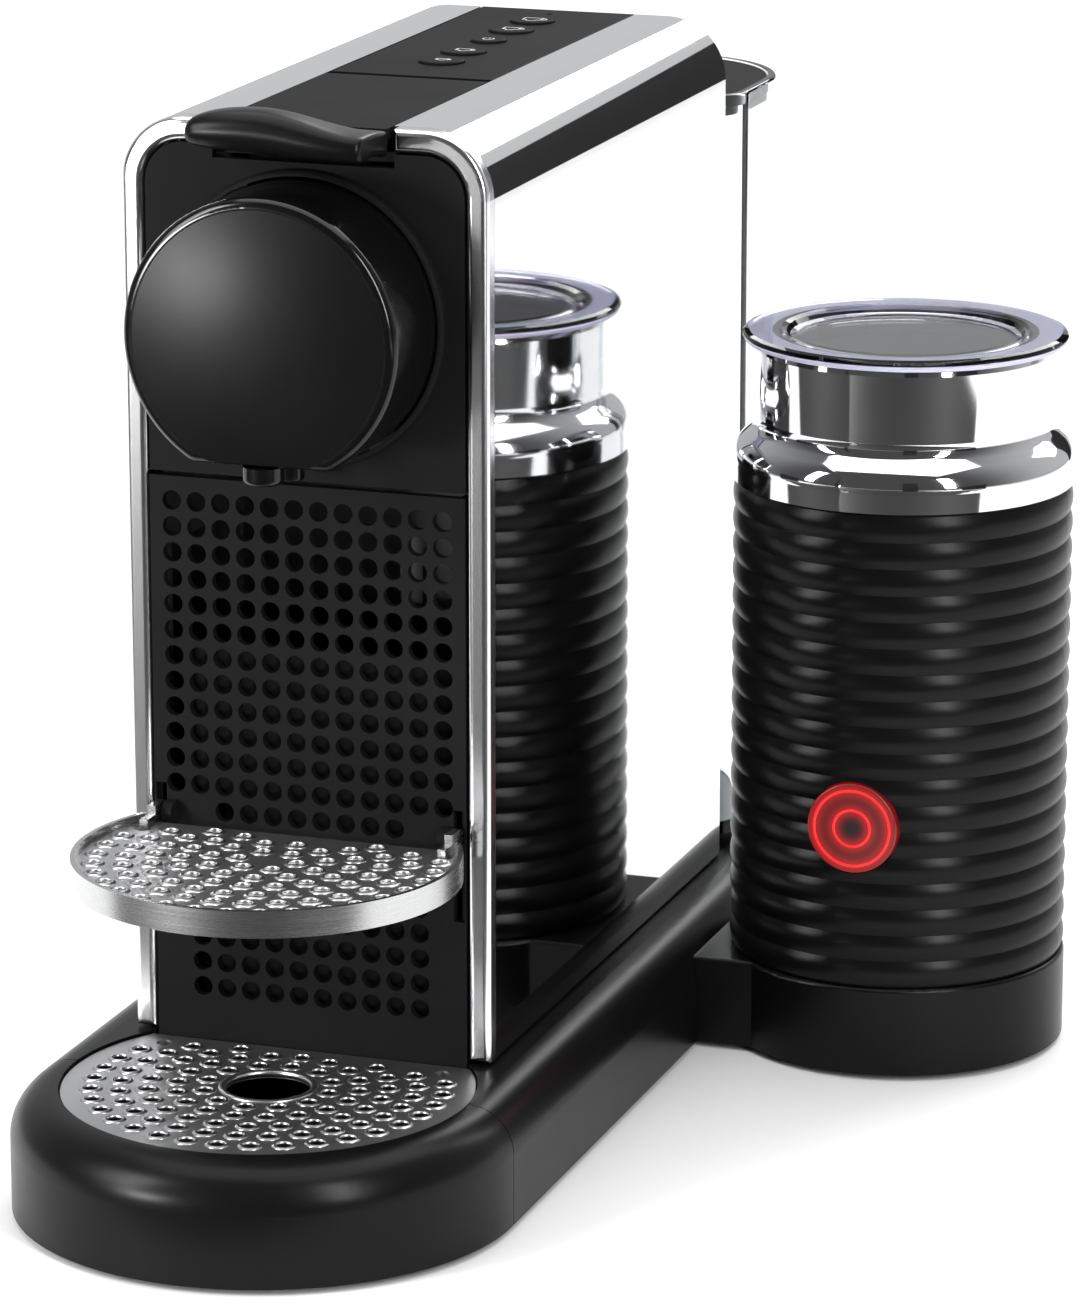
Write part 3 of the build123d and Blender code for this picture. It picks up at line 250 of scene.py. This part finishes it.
def lit_button():
    """Black cap of the frother's button, with two red rings shining through it."""
    low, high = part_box("jug_button")
    centre = ((low.x + high.x) / 2, 0.0, (low.z + high.z) / 2)
    material, tree, shader = start_material("red_lit_button", Emission_Strength=0.8,
                                            Base_Color=(0.008, 0.005, 0.005, 1))
    texture = place_group(tree, "moulded_grain", Grain=2600.0, Gloss=0.3, Wander=0.06)
    tree.links.new(texture.outputs["Roughness"], shader.inputs["Roughness"])
    place = tree.nodes.new("ShaderNodeTexCoord")
    flat = add_node(tree, "ShaderNodeVectorMath", operation="MULTIPLY")
    flat.inputs[1].default_value = (1, 0, 1)
    tree.links.new(place.outputs["Object"], flat.inputs[0])
    away = add_node(tree, "ShaderNodeVectorMath", operation="DISTANCE")
    away.inputs[1].default_value = centre
    tree.links.new(flat.outputs[0], away.inputs[0])
    glow = None
    for radius, width in ((BIG_RING, 2.2 * MM), (SMALL_RING, 1.9 * MM)):
        step = math_node(tree, "SUBTRACT", away.outputs["Value"], radius)
        step = math_node(tree, "DIVIDE", step, width)
        squared = math_node(tree, "MULTIPLY", step, step)
        fall = math_node(tree, "POWER", 2.718, math_node(tree, "MULTIPLY", squared, -1.0))
        glow = fall if glow is None else math_node(tree, "ADD", glow, fall)
    mix = add_node(tree, "ShaderNodeMix", data_type="RGBA")
    mix.inputs[6].default_value = (0, 0, 0, 1)
    mix.inputs[7].default_value = (0.55, 0.004, 0.006, 1)
    tree.links.new(glow, mix.inputs[0])
    tree.links.new(mix.outputs[2], shader.inputs["Emission Color"])
    return material


def glowing_red():
    """The lit lines themselves, hotter in some stretches than in others."""
    material, tree, shader = start_material("glowing_red", Emission_Strength=1.05, Roughness=0.4,
                                            Base_Color=(0.5, 0.01, 0.01, 1))
    patches = place_group(tree, "tone_patches", Patch_Size=160.0, Contrast=1.2)
    mix = add_node(tree, "ShaderNodeMix", data_type="RGBA")
    mix.inputs[6].default_value = (0.75, 0.006, 0.008, 1)
    mix.inputs[7].default_value = (0.95, 0.02, 0.02, 1)
    tree.links.new(patches.outputs["Mask"], mix.inputs[0])
    tree.links.new(mix.outputs[2], shader.inputs["Emission Color"])
    return material


BIG_RING = 10.6 * MM
SMALL_RING = 5.1 * MM

moulded_plastic("black_satin_plastic", (0.0025, 0.0025, 0.0027), (0.0045, 0.0045, 0.0048), 0.3,
                grain=2200.0, strength=0.14, Specular_IOR_Level=0.14)
moulded_plastic("black_matte_plastic", (0.0065, 0.0065, 0.007), (0.010, 0.010, 0.0105), 0.5,
                grain=1800.0, strength=0.25, Specular_IOR_Level=0.03)
moulded_plastic("black_gloss_plastic", (0.0022, 0.0022, 0.0024), (0.0034, 0.0034, 0.0036), 0.14,
                grain=300.0, strength=0.012, wander=0.04, Specular_IOR_Level=0.32)
polished_metal("polished_steel", (0.86, 0.865, 0.87), (0.90, 0.90, 0.905), 0.028, 0.05,
               (22.0, 6.0, 60.0))
brushed_metal("brushed_steel", (0.46, 0.46, 0.465), (0.62, 0.62, 0.625), 0.27, 0.12,
              (30.0, 30.0, 4200.0))
polished_metal("chrome", (0.72, 0.72, 0.73), (0.80, 0.80, 0.81), 0.045, 0.04, (30.0, 30.0, 8.0))
clear_moulding("clear_plastic", (0.93, 0.955, 0.965), 0.006, 1.3)
clear_moulding("smoke_clear_plastic", (0.86, 0.86, 0.93), 0.01, 1.3)
moulded_plastic("nonstick_coating", (0.05, 0.05, 0.053), (0.075, 0.075, 0.078), 0.32, grain=900.0,
                strength=0.06)
moulded_plastic("lilac_seal", (0.50, 0.50, 0.66), (0.58, 0.58, 0.72), 0.3, grain=1200.0,
                strength=0.08, Subsurface_Weight=0.25, Subsurface_Scale=0.002)
moulded_plastic("rubber", (0.012, 0.012, 0.012), (0.02, 0.02, 0.02), 0.75, grain=1500.0,
                strength=0.3)
moulded_plastic("grey_plastic", (0.10, 0.105, 0.11), (0.13, 0.135, 0.14), 0.5)
moulded_plastic("white_plastic", (0.66, 0.66, 0.63), (0.74, 0.74, 0.72), 0.42)
moulded_plastic("circuit_board", (0.008, 0.09, 0.03), (0.014, 0.13, 0.045), 0.3, grain=700.0,
                strength=0.1, patch=220.0)
moulded_plastic("cast_aluminium", (0.50, 0.50, 0.51), (0.62, 0.62, 0.63), 0.45, grain=900.0,
                strength=0.35, Metallic=1.0)
brushed_metal("zinc_screw", (0.46, 0.47, 0.50), (0.60, 0.61, 0.63), 0.3, 0.1, (900.0, 900.0, 900.0))
brushed_metal("copper", (0.55, 0.20, 0.08), (0.75, 0.34, 0.18), 0.3, 0.15, (60.0, 5200.0, 60.0))
moulded_plastic("silicone_tube", (0.60, 0.58, 0.54), (0.70, 0.68, 0.64), 0.35,
                Subsurface_Weight=0.3, Subsurface_Scale=0.002)
lit_button()
polished_metal("satin_grid_steel", (0.46, 0.46, 0.465), (0.54, 0.54, 0.545), 0.36, 0.08,
               (60.0, 60.0, 60.0))
polished_metal("satin_lip_steel", (0.60, 0.60, 0.605), (0.68, 0.68, 0.685), 0.29, 0.06,
               (60.0, 60.0, 60.0))
polished_metal("satin_chrome", (0.74, 0.74, 0.75), (0.82, 0.82, 0.83), 0.17, 0.05,
               (30.0, 30.0, 8.0))
moulded_plastic("icon_print", (0.52, 0.52, 0.53), (0.62, 0.62, 0.63), 0.5, grain=3000.0)
glowing_red()

OTHER_FINISH = {          # nodes whose finish differs a little from their slot's usual one
    "drip_grid": "satin_grid_steel",
    "cup_support_grid": "satin_grid_steel",
    "left_front_trim": "satin_chrome",
    "right_front_trim": "satin_chrome",
    "tank_lid": "black_matte_plastic",
}

for subpart in frame["record"]["subparts"]:
    finish = OTHER_FINISH.get(subpart["node"], subpart["material_slot"])
    for material_slot in frame["nodes"][subpart["node"]].material_slots:
        material_slot.material = MATERIALS[finish]


# ---- mesh helpers -------------------------------------------------------------
def mesh_object(name, mesh, material, body):
    """Finish a bmesh as a smooth object that rides on a body."""
    bmesh.ops.recalc_face_normals(mesh, faces=mesh.faces)
    data = bpy.data.meshes.new(name)
    mesh.to_mesh(data)
    mesh.free()
    for polygon in data.polygons:
        polygon.use_smooth = True
    data.materials.append(material)
    piece = bpy.data.objects.new(name, data)
    bpy.context.scene.collection.objects.link(piece)
    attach(piece, body)
    return piece


def turn_ring(mesh, centre, profile, across, along, normal, steps):
    """Add a ring with a closed (radius, height) profile about centre, in the plane of two directions."""
    loops = []
    for step in range(steps):
        angle = 2 * math.pi * step / steps
        way = across * math.cos(angle) + along * math.sin(angle)
        loops.append([mesh.verts.new(centre + way * r + normal * h) for r, h in profile])
    for step, loop in enumerate(loops):
        following = loops[(step + 1) % steps]
        for k in range(len(profile)):
            m = (k + 1) % len(profile)
            mesh.faces.new((loop[k], loop[m], following[m], following[k]))


def loft(mesh, sections):
    """Skin closed sections of equal length and cap both ends."""
    rings = [[mesh.verts.new(point) for point in section] for section in sections]
    for ring, following in zip(rings, rings[1:]):
        for k in range(len(ring)):
            m = (k + 1) % len(ring)
            mesh.faces.new((ring[k], ring[m], following[m], following[k]))
    mesh.faces.new(rings[0])
    mesh.faces.new(reversed(rings[-1]))


def smooth_more(piece, levels=1):
    modifier = piece.modifiers.new("soft_edges", "SUBSURF")
    modifier.levels = levels
    modifier.render_levels = levels
    return piece


RIGHT, BACK, UP = Vector((1, 0, 0)), Vector((0, 1, 0)), Vector((0, 0, 1))


# ---- punched grids, in millimetres ----------------------------------------------
PUNCH_PITCH = 8.45        # along a ring of holes
RING_PITCH = 7.25         # from ring to ring
PUNCH_LIP = [(3.3, -0.02), (3.0, 0.12), (2.72, 0.36), (2.42, 0.45), (2.18, 0.36), (2.04, 0.08), (2.0, -0.9),
             (2.25, -0.9), (2.6, -0.1)]     # radius and height about a hole
DRAIN_RIM = [(13.0, -0.03), (12.5, 0.32), (11.9, 0.5), (11.3, 0.36), (11.0, 0.0), (10.95, -1.2),
             (11.25, -1.2), (11.6, -0.1)]


def punched_lips(name, body, centre_y, top, rings, first_radius, back_limit):
    """The raised round lip that punching leaves at each hole of a drip grid."""
    mesh = bmesh.new()
    profile = [(r * MM, h * MM) for r, h in PUNCH_LIP]
    for ring in range(rings):
        radius = first_radius + ring * RING_PITCH
        count = round(2 * math.pi * radius / PUNCH_PITCH)
        for k in range(count):
            angle = 2 * math.pi * (k + 0.5 * (ring % 2)) / count
            x, y = radius * math.cos(angle), centre_y + radius * math.sin(angle)
            if y < back_limit and (abs(x) < 36.0 or y < back_limit - 6.5):
                turn_ring(mesh, at(x, y, top), profile, RIGHT, BACK, UP, 14)
    return mesh_object(name, mesh, MATERIALS["satin_lip_steel"], body)


NOSE_Y = -30.5
GRID_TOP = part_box("drip_grid")[1].z / MM
SUPPORT_PLATE_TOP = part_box("cup_support_grid")[1].z / MM
punched_lips("drip_grid_lips", "drip_grid", NOSE_Y, GRID_TOP,
             rings=5, first_radius=16.6, back_limit=-4.5)
punched_lips("cup_support_lips", "cup_support", NOSE_Y + 1.0, SUPPORT_PLATE_TOP,
             rings=6, first_radius=8.0, back_limit=-10.0)


def drain_rim():
    """Rolled rim round the drip grid's middle hole."""
    mesh = bmesh.new()
    profile = [(r * MM, h * MM) for r, h in DRAIN_RIM]
    turn_ring(mesh, at(0, NOSE_Y, GRID_TOP), profile, RIGHT, BACK, UP, 72)
    return mesh_object("drip_grid_drain_rim", mesh, MATERIALS["satin_lip_steel"], "drip_grid")


drain_rim()


# ---- lever lip ----------------------------------------------------------------
LIP_HALF = 24.0
LIP_SEAM_Z = 276.9        # where the lip meets the lever's flat plate
LIP_CREST_X = -6.0        # the wave is highest left of the middle
LIP_LOW_Z = 278.2
LIP_RISE = 5.35
LIP_NOSE_Y = -23.8        # foremost line, at the middle
LIP_UNDER_Z = 271.6       # the hollow below it
LIP_SKIRT_Z = 270.3       # lower edge of its skirt
LIP_NOSE_STEPS = 8
LIP_LEFT_END = ((0.05, 0.5), (0.25, 0.72), (0.9, 0.9), (2.0, 0.97))     # distance from the end, size
LIP_RIGHT_END = ((0.9, 0.98), (0.3, 0.93), (0.05, 0.82))
LIP_INSET = 3.2           # the full section starts this far from the left end
LIP_RUN = 43.2
LIP_STATIONS = 26


def lip_crest(x):
    """Height of the wave across the lip: steep on the left, a long fall to the right."""
    if x < LIP_CREST_X:
        share = (x + LIP_HALF) / (LIP_CREST_X + LIP_HALF)
        return LIP_LOW_Z + LIP_RISE * math.sin(math.pi / 2 * max(share, 0.0)) ** 0.41
    share = (LIP_HALF - x) / (LIP_HALF - LIP_CREST_X)
    return LIP_LOW_Z + LIP_RISE * (0.5 - 0.5 * math.cos(math.pi * max(share, 0.0))) ** 0.85


def lip_section(x, shrink):
    """Outline of the lip in y and z at one place across it: a full round nose, then the skirt."""
    crest = lip_crest(x) - 0.1
    under = LIP_UNDER_Z + 1.6 * max(0.0, (6.0 - x) / 30.0) + 1.2 * max(0.0, -x / LIP_HALF) ** 5
    front = LIP_NOSE_Y + 1.8 * (abs(x) / LIP_HALF) ** 4
    radius = (crest - under) / 2
    middle = (crest + under) / 2
    rise = crest - LIP_SEAM_Z
    outline = [(-0.4, LIP_SKIRT_Z)]
    for y, share in ((-0.4, 0.0), (-3.0, 0.1), (-6.0, 0.42), (-9.5, 0.82)):
        outline.append((y, LIP_SEAM_Z + share * rise))
    outline.append((-13.5, crest))
    for step in range(LIP_NOSE_STEPS + 1):
        angle = math.pi / 2 + math.pi * step / LIP_NOSE_STEPS
        outline.append((front + radius + radius * math.cos(angle), middle + radius * math.sin(angle)))
    outline += [(-11.5, under + 0.5), (-7.0, under), (-4.2, 271.0), (-3.2, LIP_SKIRT_Z)]
    middle_y = sum(y for y, z in outline) / len(outline)
    middle_z = sum(z for y, z in outline) / len(outline)
    return [at(x, middle_y + (y - middle_y) * shrink, middle_z + (z - middle_z) * shrink)
            for y, z in outline]


def lever_lip():
    """Satin lip that the fingers lift, with a wave along its top and a hollow below."""
    mesh = bmesh.new()
    stations = [(-LIP_HALF + inward, size) for inward, size in LIP_LEFT_END]
    stations += [(-LIP_HALF + LIP_INSET + LIP_RUN * k / LIP_STATIONS, 1.0) for k in range(LIP_STATIONS + 1)]
    stations += [(LIP_HALF - inward, size) for inward, size in LIP_RIGHT_END]
    loft(mesh, [lip_section(x, shrink) for x, shrink in stations])
    lip = mesh_object("lever_lip", mesh, MATERIALS["black_satin_plastic"], "lever")
    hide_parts("lever_grip")
    return smooth_more(lip, 2)


lever_lip()


# ---- button icons -------------------------------------------------------------
def ribbon(mesh, points, width, normal, lift):
    """A flat line of even width through points, with mitred corners and a little thickness."""
    closed = (points[0] - points[-1]).length < 1e-9
    if closed:
        points = points[:-1]
    rows = []
    for k, point in enumerate(points):
        before = points[k - 1] if k or closed else None
        after = points[(k + 1) % len(points)] if k + 1 < len(points) or closed else None
        first = (point - before).normalized() if before is not None else (after - point).normalized()
        second = (after - point).normalized() if after is not None else first
        way = (first + second).normalized()
        side = normal.cross(way)
        reach = width / 2 / max(0.5, way.dot(first))
        rows.append([mesh.verts.new(point + side * reach * s + normal * h)
                     for s, h in ((-1, 0.0), (-1, lift), (1, lift), (1, 0.0))])
    pairs = list(zip(rows, rows[1:])) + ([(rows[-1], rows[0])] if closed else [])
    for row, following in pairs:
        for k in range(4):
            m = (k + 1) % 4
            mesh.faces.new((row[k], row[m], following[m], following[k]))
    if not closed:
        mesh.faces.new(rows[0])
        mesh.faces.new(reversed(rows[-1]))


def arc(x, y, radius, start, stop, steps=14):
    angles = [math.radians(start + (stop - start) * k / steps) for k in range(steps + 1)]
    return [(x + radius * math.cos(a), y + radius * math.sin(a)) for a in angles]


def cup_lines(width, height):
    """Outline of a cup seen from the side, with its handle, in millimetres about its middle."""
    half, low = width / 2, -height / 2
    bowl = [(-half, -low), (-half * 0.94, low * 0.35)] + arc(0, low + half * 0.55, half * 0.55, 180, 360, 10)
    bowl += [(half * 0.94, low * 0.35), (half, -low), (-half, -low)]
    handle = arc(half * 1.02, -low * 0.18, height * 0.26, 80, -80, 10)
    return [bowl, handle]


def power_lines(radius):
    return [arc(0, 0, radius, 125, 415, 24), [(0, radius * 0.25), (0, radius * 1.15)]]


ICONS = {                 # what is printed on each cap
    "front_cup_button": cup_lines(3.4, 2.7),
    "second_cup_button": cup_lines(4.2, 3.6),
    "power_button": power_lines(1.5),
    "third_cup_button": cup_lines(4.8, 4.3),
    "rear_cup_button": cup_lines(5.4, 5.0),
}


def button_icon(button, lines):
    low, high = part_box(button)
    middle = Vector(((low.x + high.x) / 2, (low.y + high.y) / 2, high.z - 0.02 * MM))
    mesh = bmesh.new()
    for line in lines:
        ribbon(mesh, [middle + Vector((x, y, 0)) * MM for x, y in line], 0.36 * MM, UP, 0.05 * MM)
    icon = mesh_object(button + "_icon", mesh, MATERIALS["icon_print"], button)
    for polygon in icon.data.polygons:
        polygon.use_smooth = False


for button, lines in ICONS.items():
    button_icon(button, lines)


# ---- lit rings of the frother's button ------------------------------------------
def lit_rings():
    low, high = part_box("jug_button")
    centre = Vector(((low.x + high.x) / 2, low.y, (low.z + high.z) / 2))
    mesh = bmesh.new()
    for radius, half in ((BIG_RING, 0.42 * MM), (SMALL_RING, 0.4 * MM)):
        profile = [(radius - half, -0.05 * MM), (radius - 0.6 * half, 0.1 * MM), (radius, 0.16 * MM),
                   (radius + 0.6 * half, 0.1 * MM), (radius + half, -0.05 * MM)]
        turn_ring(mesh, centre, profile, RIGHT, UP, -BACK, 64)
    return mesh_object("jug_button_lit_rings", mesh, MATERIALS["glowing_red"], "jug_button")


lit_rings()


# ---- whisk spring ---------------------------------------------------------------
def whisk_spring():
    """Coiled wire ring of the whisk, wound about the ring the CAD piece carries."""
    low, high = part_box("whisk")
    hub = Vector(((low.x + high.x) / 2, (low.y + high.y) / 2, high.z - 4.0 * MM))
    ring, coil, turns, per_turn = 13.0 * MM, 1.55 * MM, 44, 10
    mesh = bmesh.new()
    rows = []
    for k in range(turns * per_turn):
        around = 2 * math.pi * k / (turns * per_turn)
        twist = 2 * math.pi * k / per_turn
        out = RIGHT * math.cos(around) + BACK * math.sin(around)
        point = hub + out * (ring + coil * math.cos(twist)) + UP * coil * math.sin(twist)
        side = out * math.cos(twist) + UP * math.sin(twist)
        along = BACK * math.cos(around) - RIGHT * math.sin(around)
        rows.append([mesh.verts.new(point + side * dx + along * dy)
                     for dx, dy in ((0.3 * MM, 0), (0, 0.3 * MM), (-0.3 * MM, 0), (0, -0.3 * MM))])
    for k, row in enumerate(rows):
        following = rows[(k + 1) % len(rows)]
        for side in range(4):
            m = (side + 1) % 4
            mesh.faces.new((row[side], row[m], following[m], following[side]))
    return mesh_object("whisk_spring", mesh, MATERIALS["brushed_steel"], "whisk")


whisk_spring()


# ---- stage ----------------------------------------------------------------------
def pale_floor():
    mesh = bmesh.new()
    bmesh.ops.create_grid(mesh, x_segments=2, y_segments=2, size=7.0)
    data = bpy.data.meshes.new("floor")
    mesh.to_mesh(data)
    mesh.free()
    floor = bpy.data.objects.new("floor", data)
    floor.location.z = -0.0002
    bpy.context.scene.collection.objects.link(floor)
    material, tree, shader = start_material("pale_floor", Roughness=0.7)
    shader.inputs["Specular IOR Level"].default_value = 0.2
    patches = place_group(tree, "tone_patches", Patch_Size=2.0, Contrast=0.4)
    two_tones(tree, shader, patches.outputs["Mask"], (0.86, 0.86, 0.86), (0.88, 0.88, 0.88))
    data.materials.append(material)


def soft_box(name, where, target, width, height, power):
    light = bpy.data.lights.new(name, "AREA")
    light.shape = "RECTANGLE"
    light.size, light.size_y, light.energy = width, height, power
    lamp = bpy.data.objects.new(name, light)
    lamp.location = where
    lamp.visible_camera = False
    lamp.rotation_euler = (Vector(target) - Vector(where)).to_track_quat("-Z", "Y").to_euler()
    bpy.context.scene.collection.objects.link(lamp)


FLAG_SLOPE = 0.555


def dark_card(name, corners, fade_from=None, fade_over=0.08):
    """A black board that shows only in reflections, as a studio flag does. It may fade out
    towards the line z + FLAG_SLOPE * x = fade_from."""
    data = bpy.data.meshes.new(name)
    data.from_pydata(corners, [], [tuple(range(len(corners)))])
    card = bpy.data.objects.new(name, data)
    bpy.context.scene.collection.objects.link(card)
    material, tree, shader = start_material(name, Roughness=0.9, Base_Color=(0.002, 0.002, 0.002, 1))
    data.materials.append(material)
    if fade_from is not None:
        place = tree.nodes.new("ShaderNodeTexCoord")
        parts = tree.nodes.new("ShaderNodeSeparateXYZ")
        tree.links.new(place.outputs["Object"], parts.inputs[0])
        height = math_node(tree, "ADD", parts.outputs[2], math_node(tree, "MULTIPLY", parts.outputs[0], FLAG_SLOPE))
        fade = add_node(tree, "ShaderNodeMapRange", interpolation_type="SMOOTHSTEP")
        fade.inputs["From Min"].default_value = fade_from
        fade.inputs["From Max"].default_value = fade_from + fade_over
        tree.links.new(height, fade.inputs["Value"])
        tree.links.new(fade.outputs["Result"], shader.inputs["Alpha"])
    card.visible_camera = False
    card.visible_diffuse = False
    card.visible_shadow = False
    card.visible_transmission = False


def upright_card(name, azimuth, distance, width, low, high):
    """A dark card standing at an azimuth round the frother, so that its chrome has dark bands."""
    centre = at(114, 160, 0)
    out = Vector((math.sin(math.radians(azimuth)), -math.cos(math.radians(azimuth)), 0))
    across = Vector((out.y, -out.x, 0)) * width / 2
    foot = centre + out * distance
    dark_card(name, [foot - across + UP * low, foot + across + UP * low, foot + across + UP * high,
                     foot - across + UP * high])


MACHINE_AIM = (0, 0, 0.14)
LAMPS = [                 # name, place, aim, width, height, watts
    ("key_left", (-1.6, -1.3, 1.3), MACHINE_AIM, 0.7, 1.1, 20),
    ("strip_right", (1.2, -1.0, 0.85), (0.067, 0.07, 0.1), 0.2, 1.2, 20),
    ("strip_left", (-0.85, -1.0, 0.6), (0.067, 0.07, 0.11), 0.16, 0.9, 9),
    ("head_glow", (-0.82, -1.33, 0.19), (-0.066, -0.15, 0.244), 0.30, 0.22, 12),
    ("overhead", (0.0, 0.2, 2.3), MACHINE_AIM, 2.6, 2.6, 52),
    ("back_wash", (0.6, 2.8, 1.8), (0.3, 1.2, 0.0), 2.6, 1.4, 60),
]


def studio_light():
    """Bright behind the machine and dim in front of it, with softboxes at both sides."""
    world = bpy.data.worlds.new("studio")
    world.use_nodes = True
    bpy.context.scene.world = world
    tree = world.node_tree
    sky = tree.nodes["Background"]
    place = tree.nodes.new("ShaderNodeTexCoord")
    parts = tree.nodes.new("ShaderNodeSeparateXYZ")
    ramp = add_node(tree, "ShaderNodeMapRange", interpolation_type="SMOOTHSTEP")
    for label, value in {"From Min": -0.5, "From Max": 0.8, "To Min": 0.08, "To Max": 0.6}.items():
        ramp.inputs[label].default_value = value
    tree.links.new(place.outputs["Generated"], parts.inputs[0])
    tree.links.new(parts.outputs[1], ramp.inputs["Value"])
    tree.links.new(ramp.outputs["Result"], sky.inputs["Strength"])
    sky.inputs["Color"].default_value = (0.97, 0.98, 1.0, 1)
    for lamp in LAMPS:
        soft_box(*lamp)
    dark_card("shell_flag", [(0.05, 0.62, 0.0), (0.30, 0.62, 0.0), (0.30, 0.62, 0.4), (0.05, 0.62, 0.4)],
              0.247, 0.035)
    dark_card("right_flag", [(1.0, -0.62, 0.0), (1.0, -0.26, 0.0), (1.0, -0.26, 0.32), (1.0, -0.62, 0.32)])
    dark_card("front_floor_flag", [(-1.6, -0.215, 0.003), (0.9, -0.215, 0.003), (0.9, -2.4, 0.003),
                                   (-1.6, -2.4, 0.003)])
    for number, (azimuth, width) in enumerate(((-70, 0.3), (20, 0.25))):
        upright_card(f"frother_flag_{number + 1}", azimuth, 1.4, width, 0.0, 1.0)


CAMERA_PLACE = Vector((0.48582, -1.45406, 0.52870))
CAMERA_TARGET = Vector((-0.01844, 0.00945, 0.11728))
CAMERA_LENS = 162.54


def place_camera():
    camera = bpy.data.cameras.new("camera")
    camera.lens = CAMERA_LENS
    camera.sensor_width = 36.0
    camera.clip_end = 50.0
    tripod = bpy.data.objects.new("camera", camera)
    tripod.location = CAMERA_PLACE
    tripod.rotation_euler = (CAMERA_TARGET - CAMERA_PLACE).to_track_quat("-Z", "Y").to_euler()
    bpy.context.scene.collection.objects.link(tripod)
    bpy.context.scene.camera = tripod


pale_floor()
studio_light()
place_camera()
bpy.context.scene.view_settings.view_transform = "Standard"
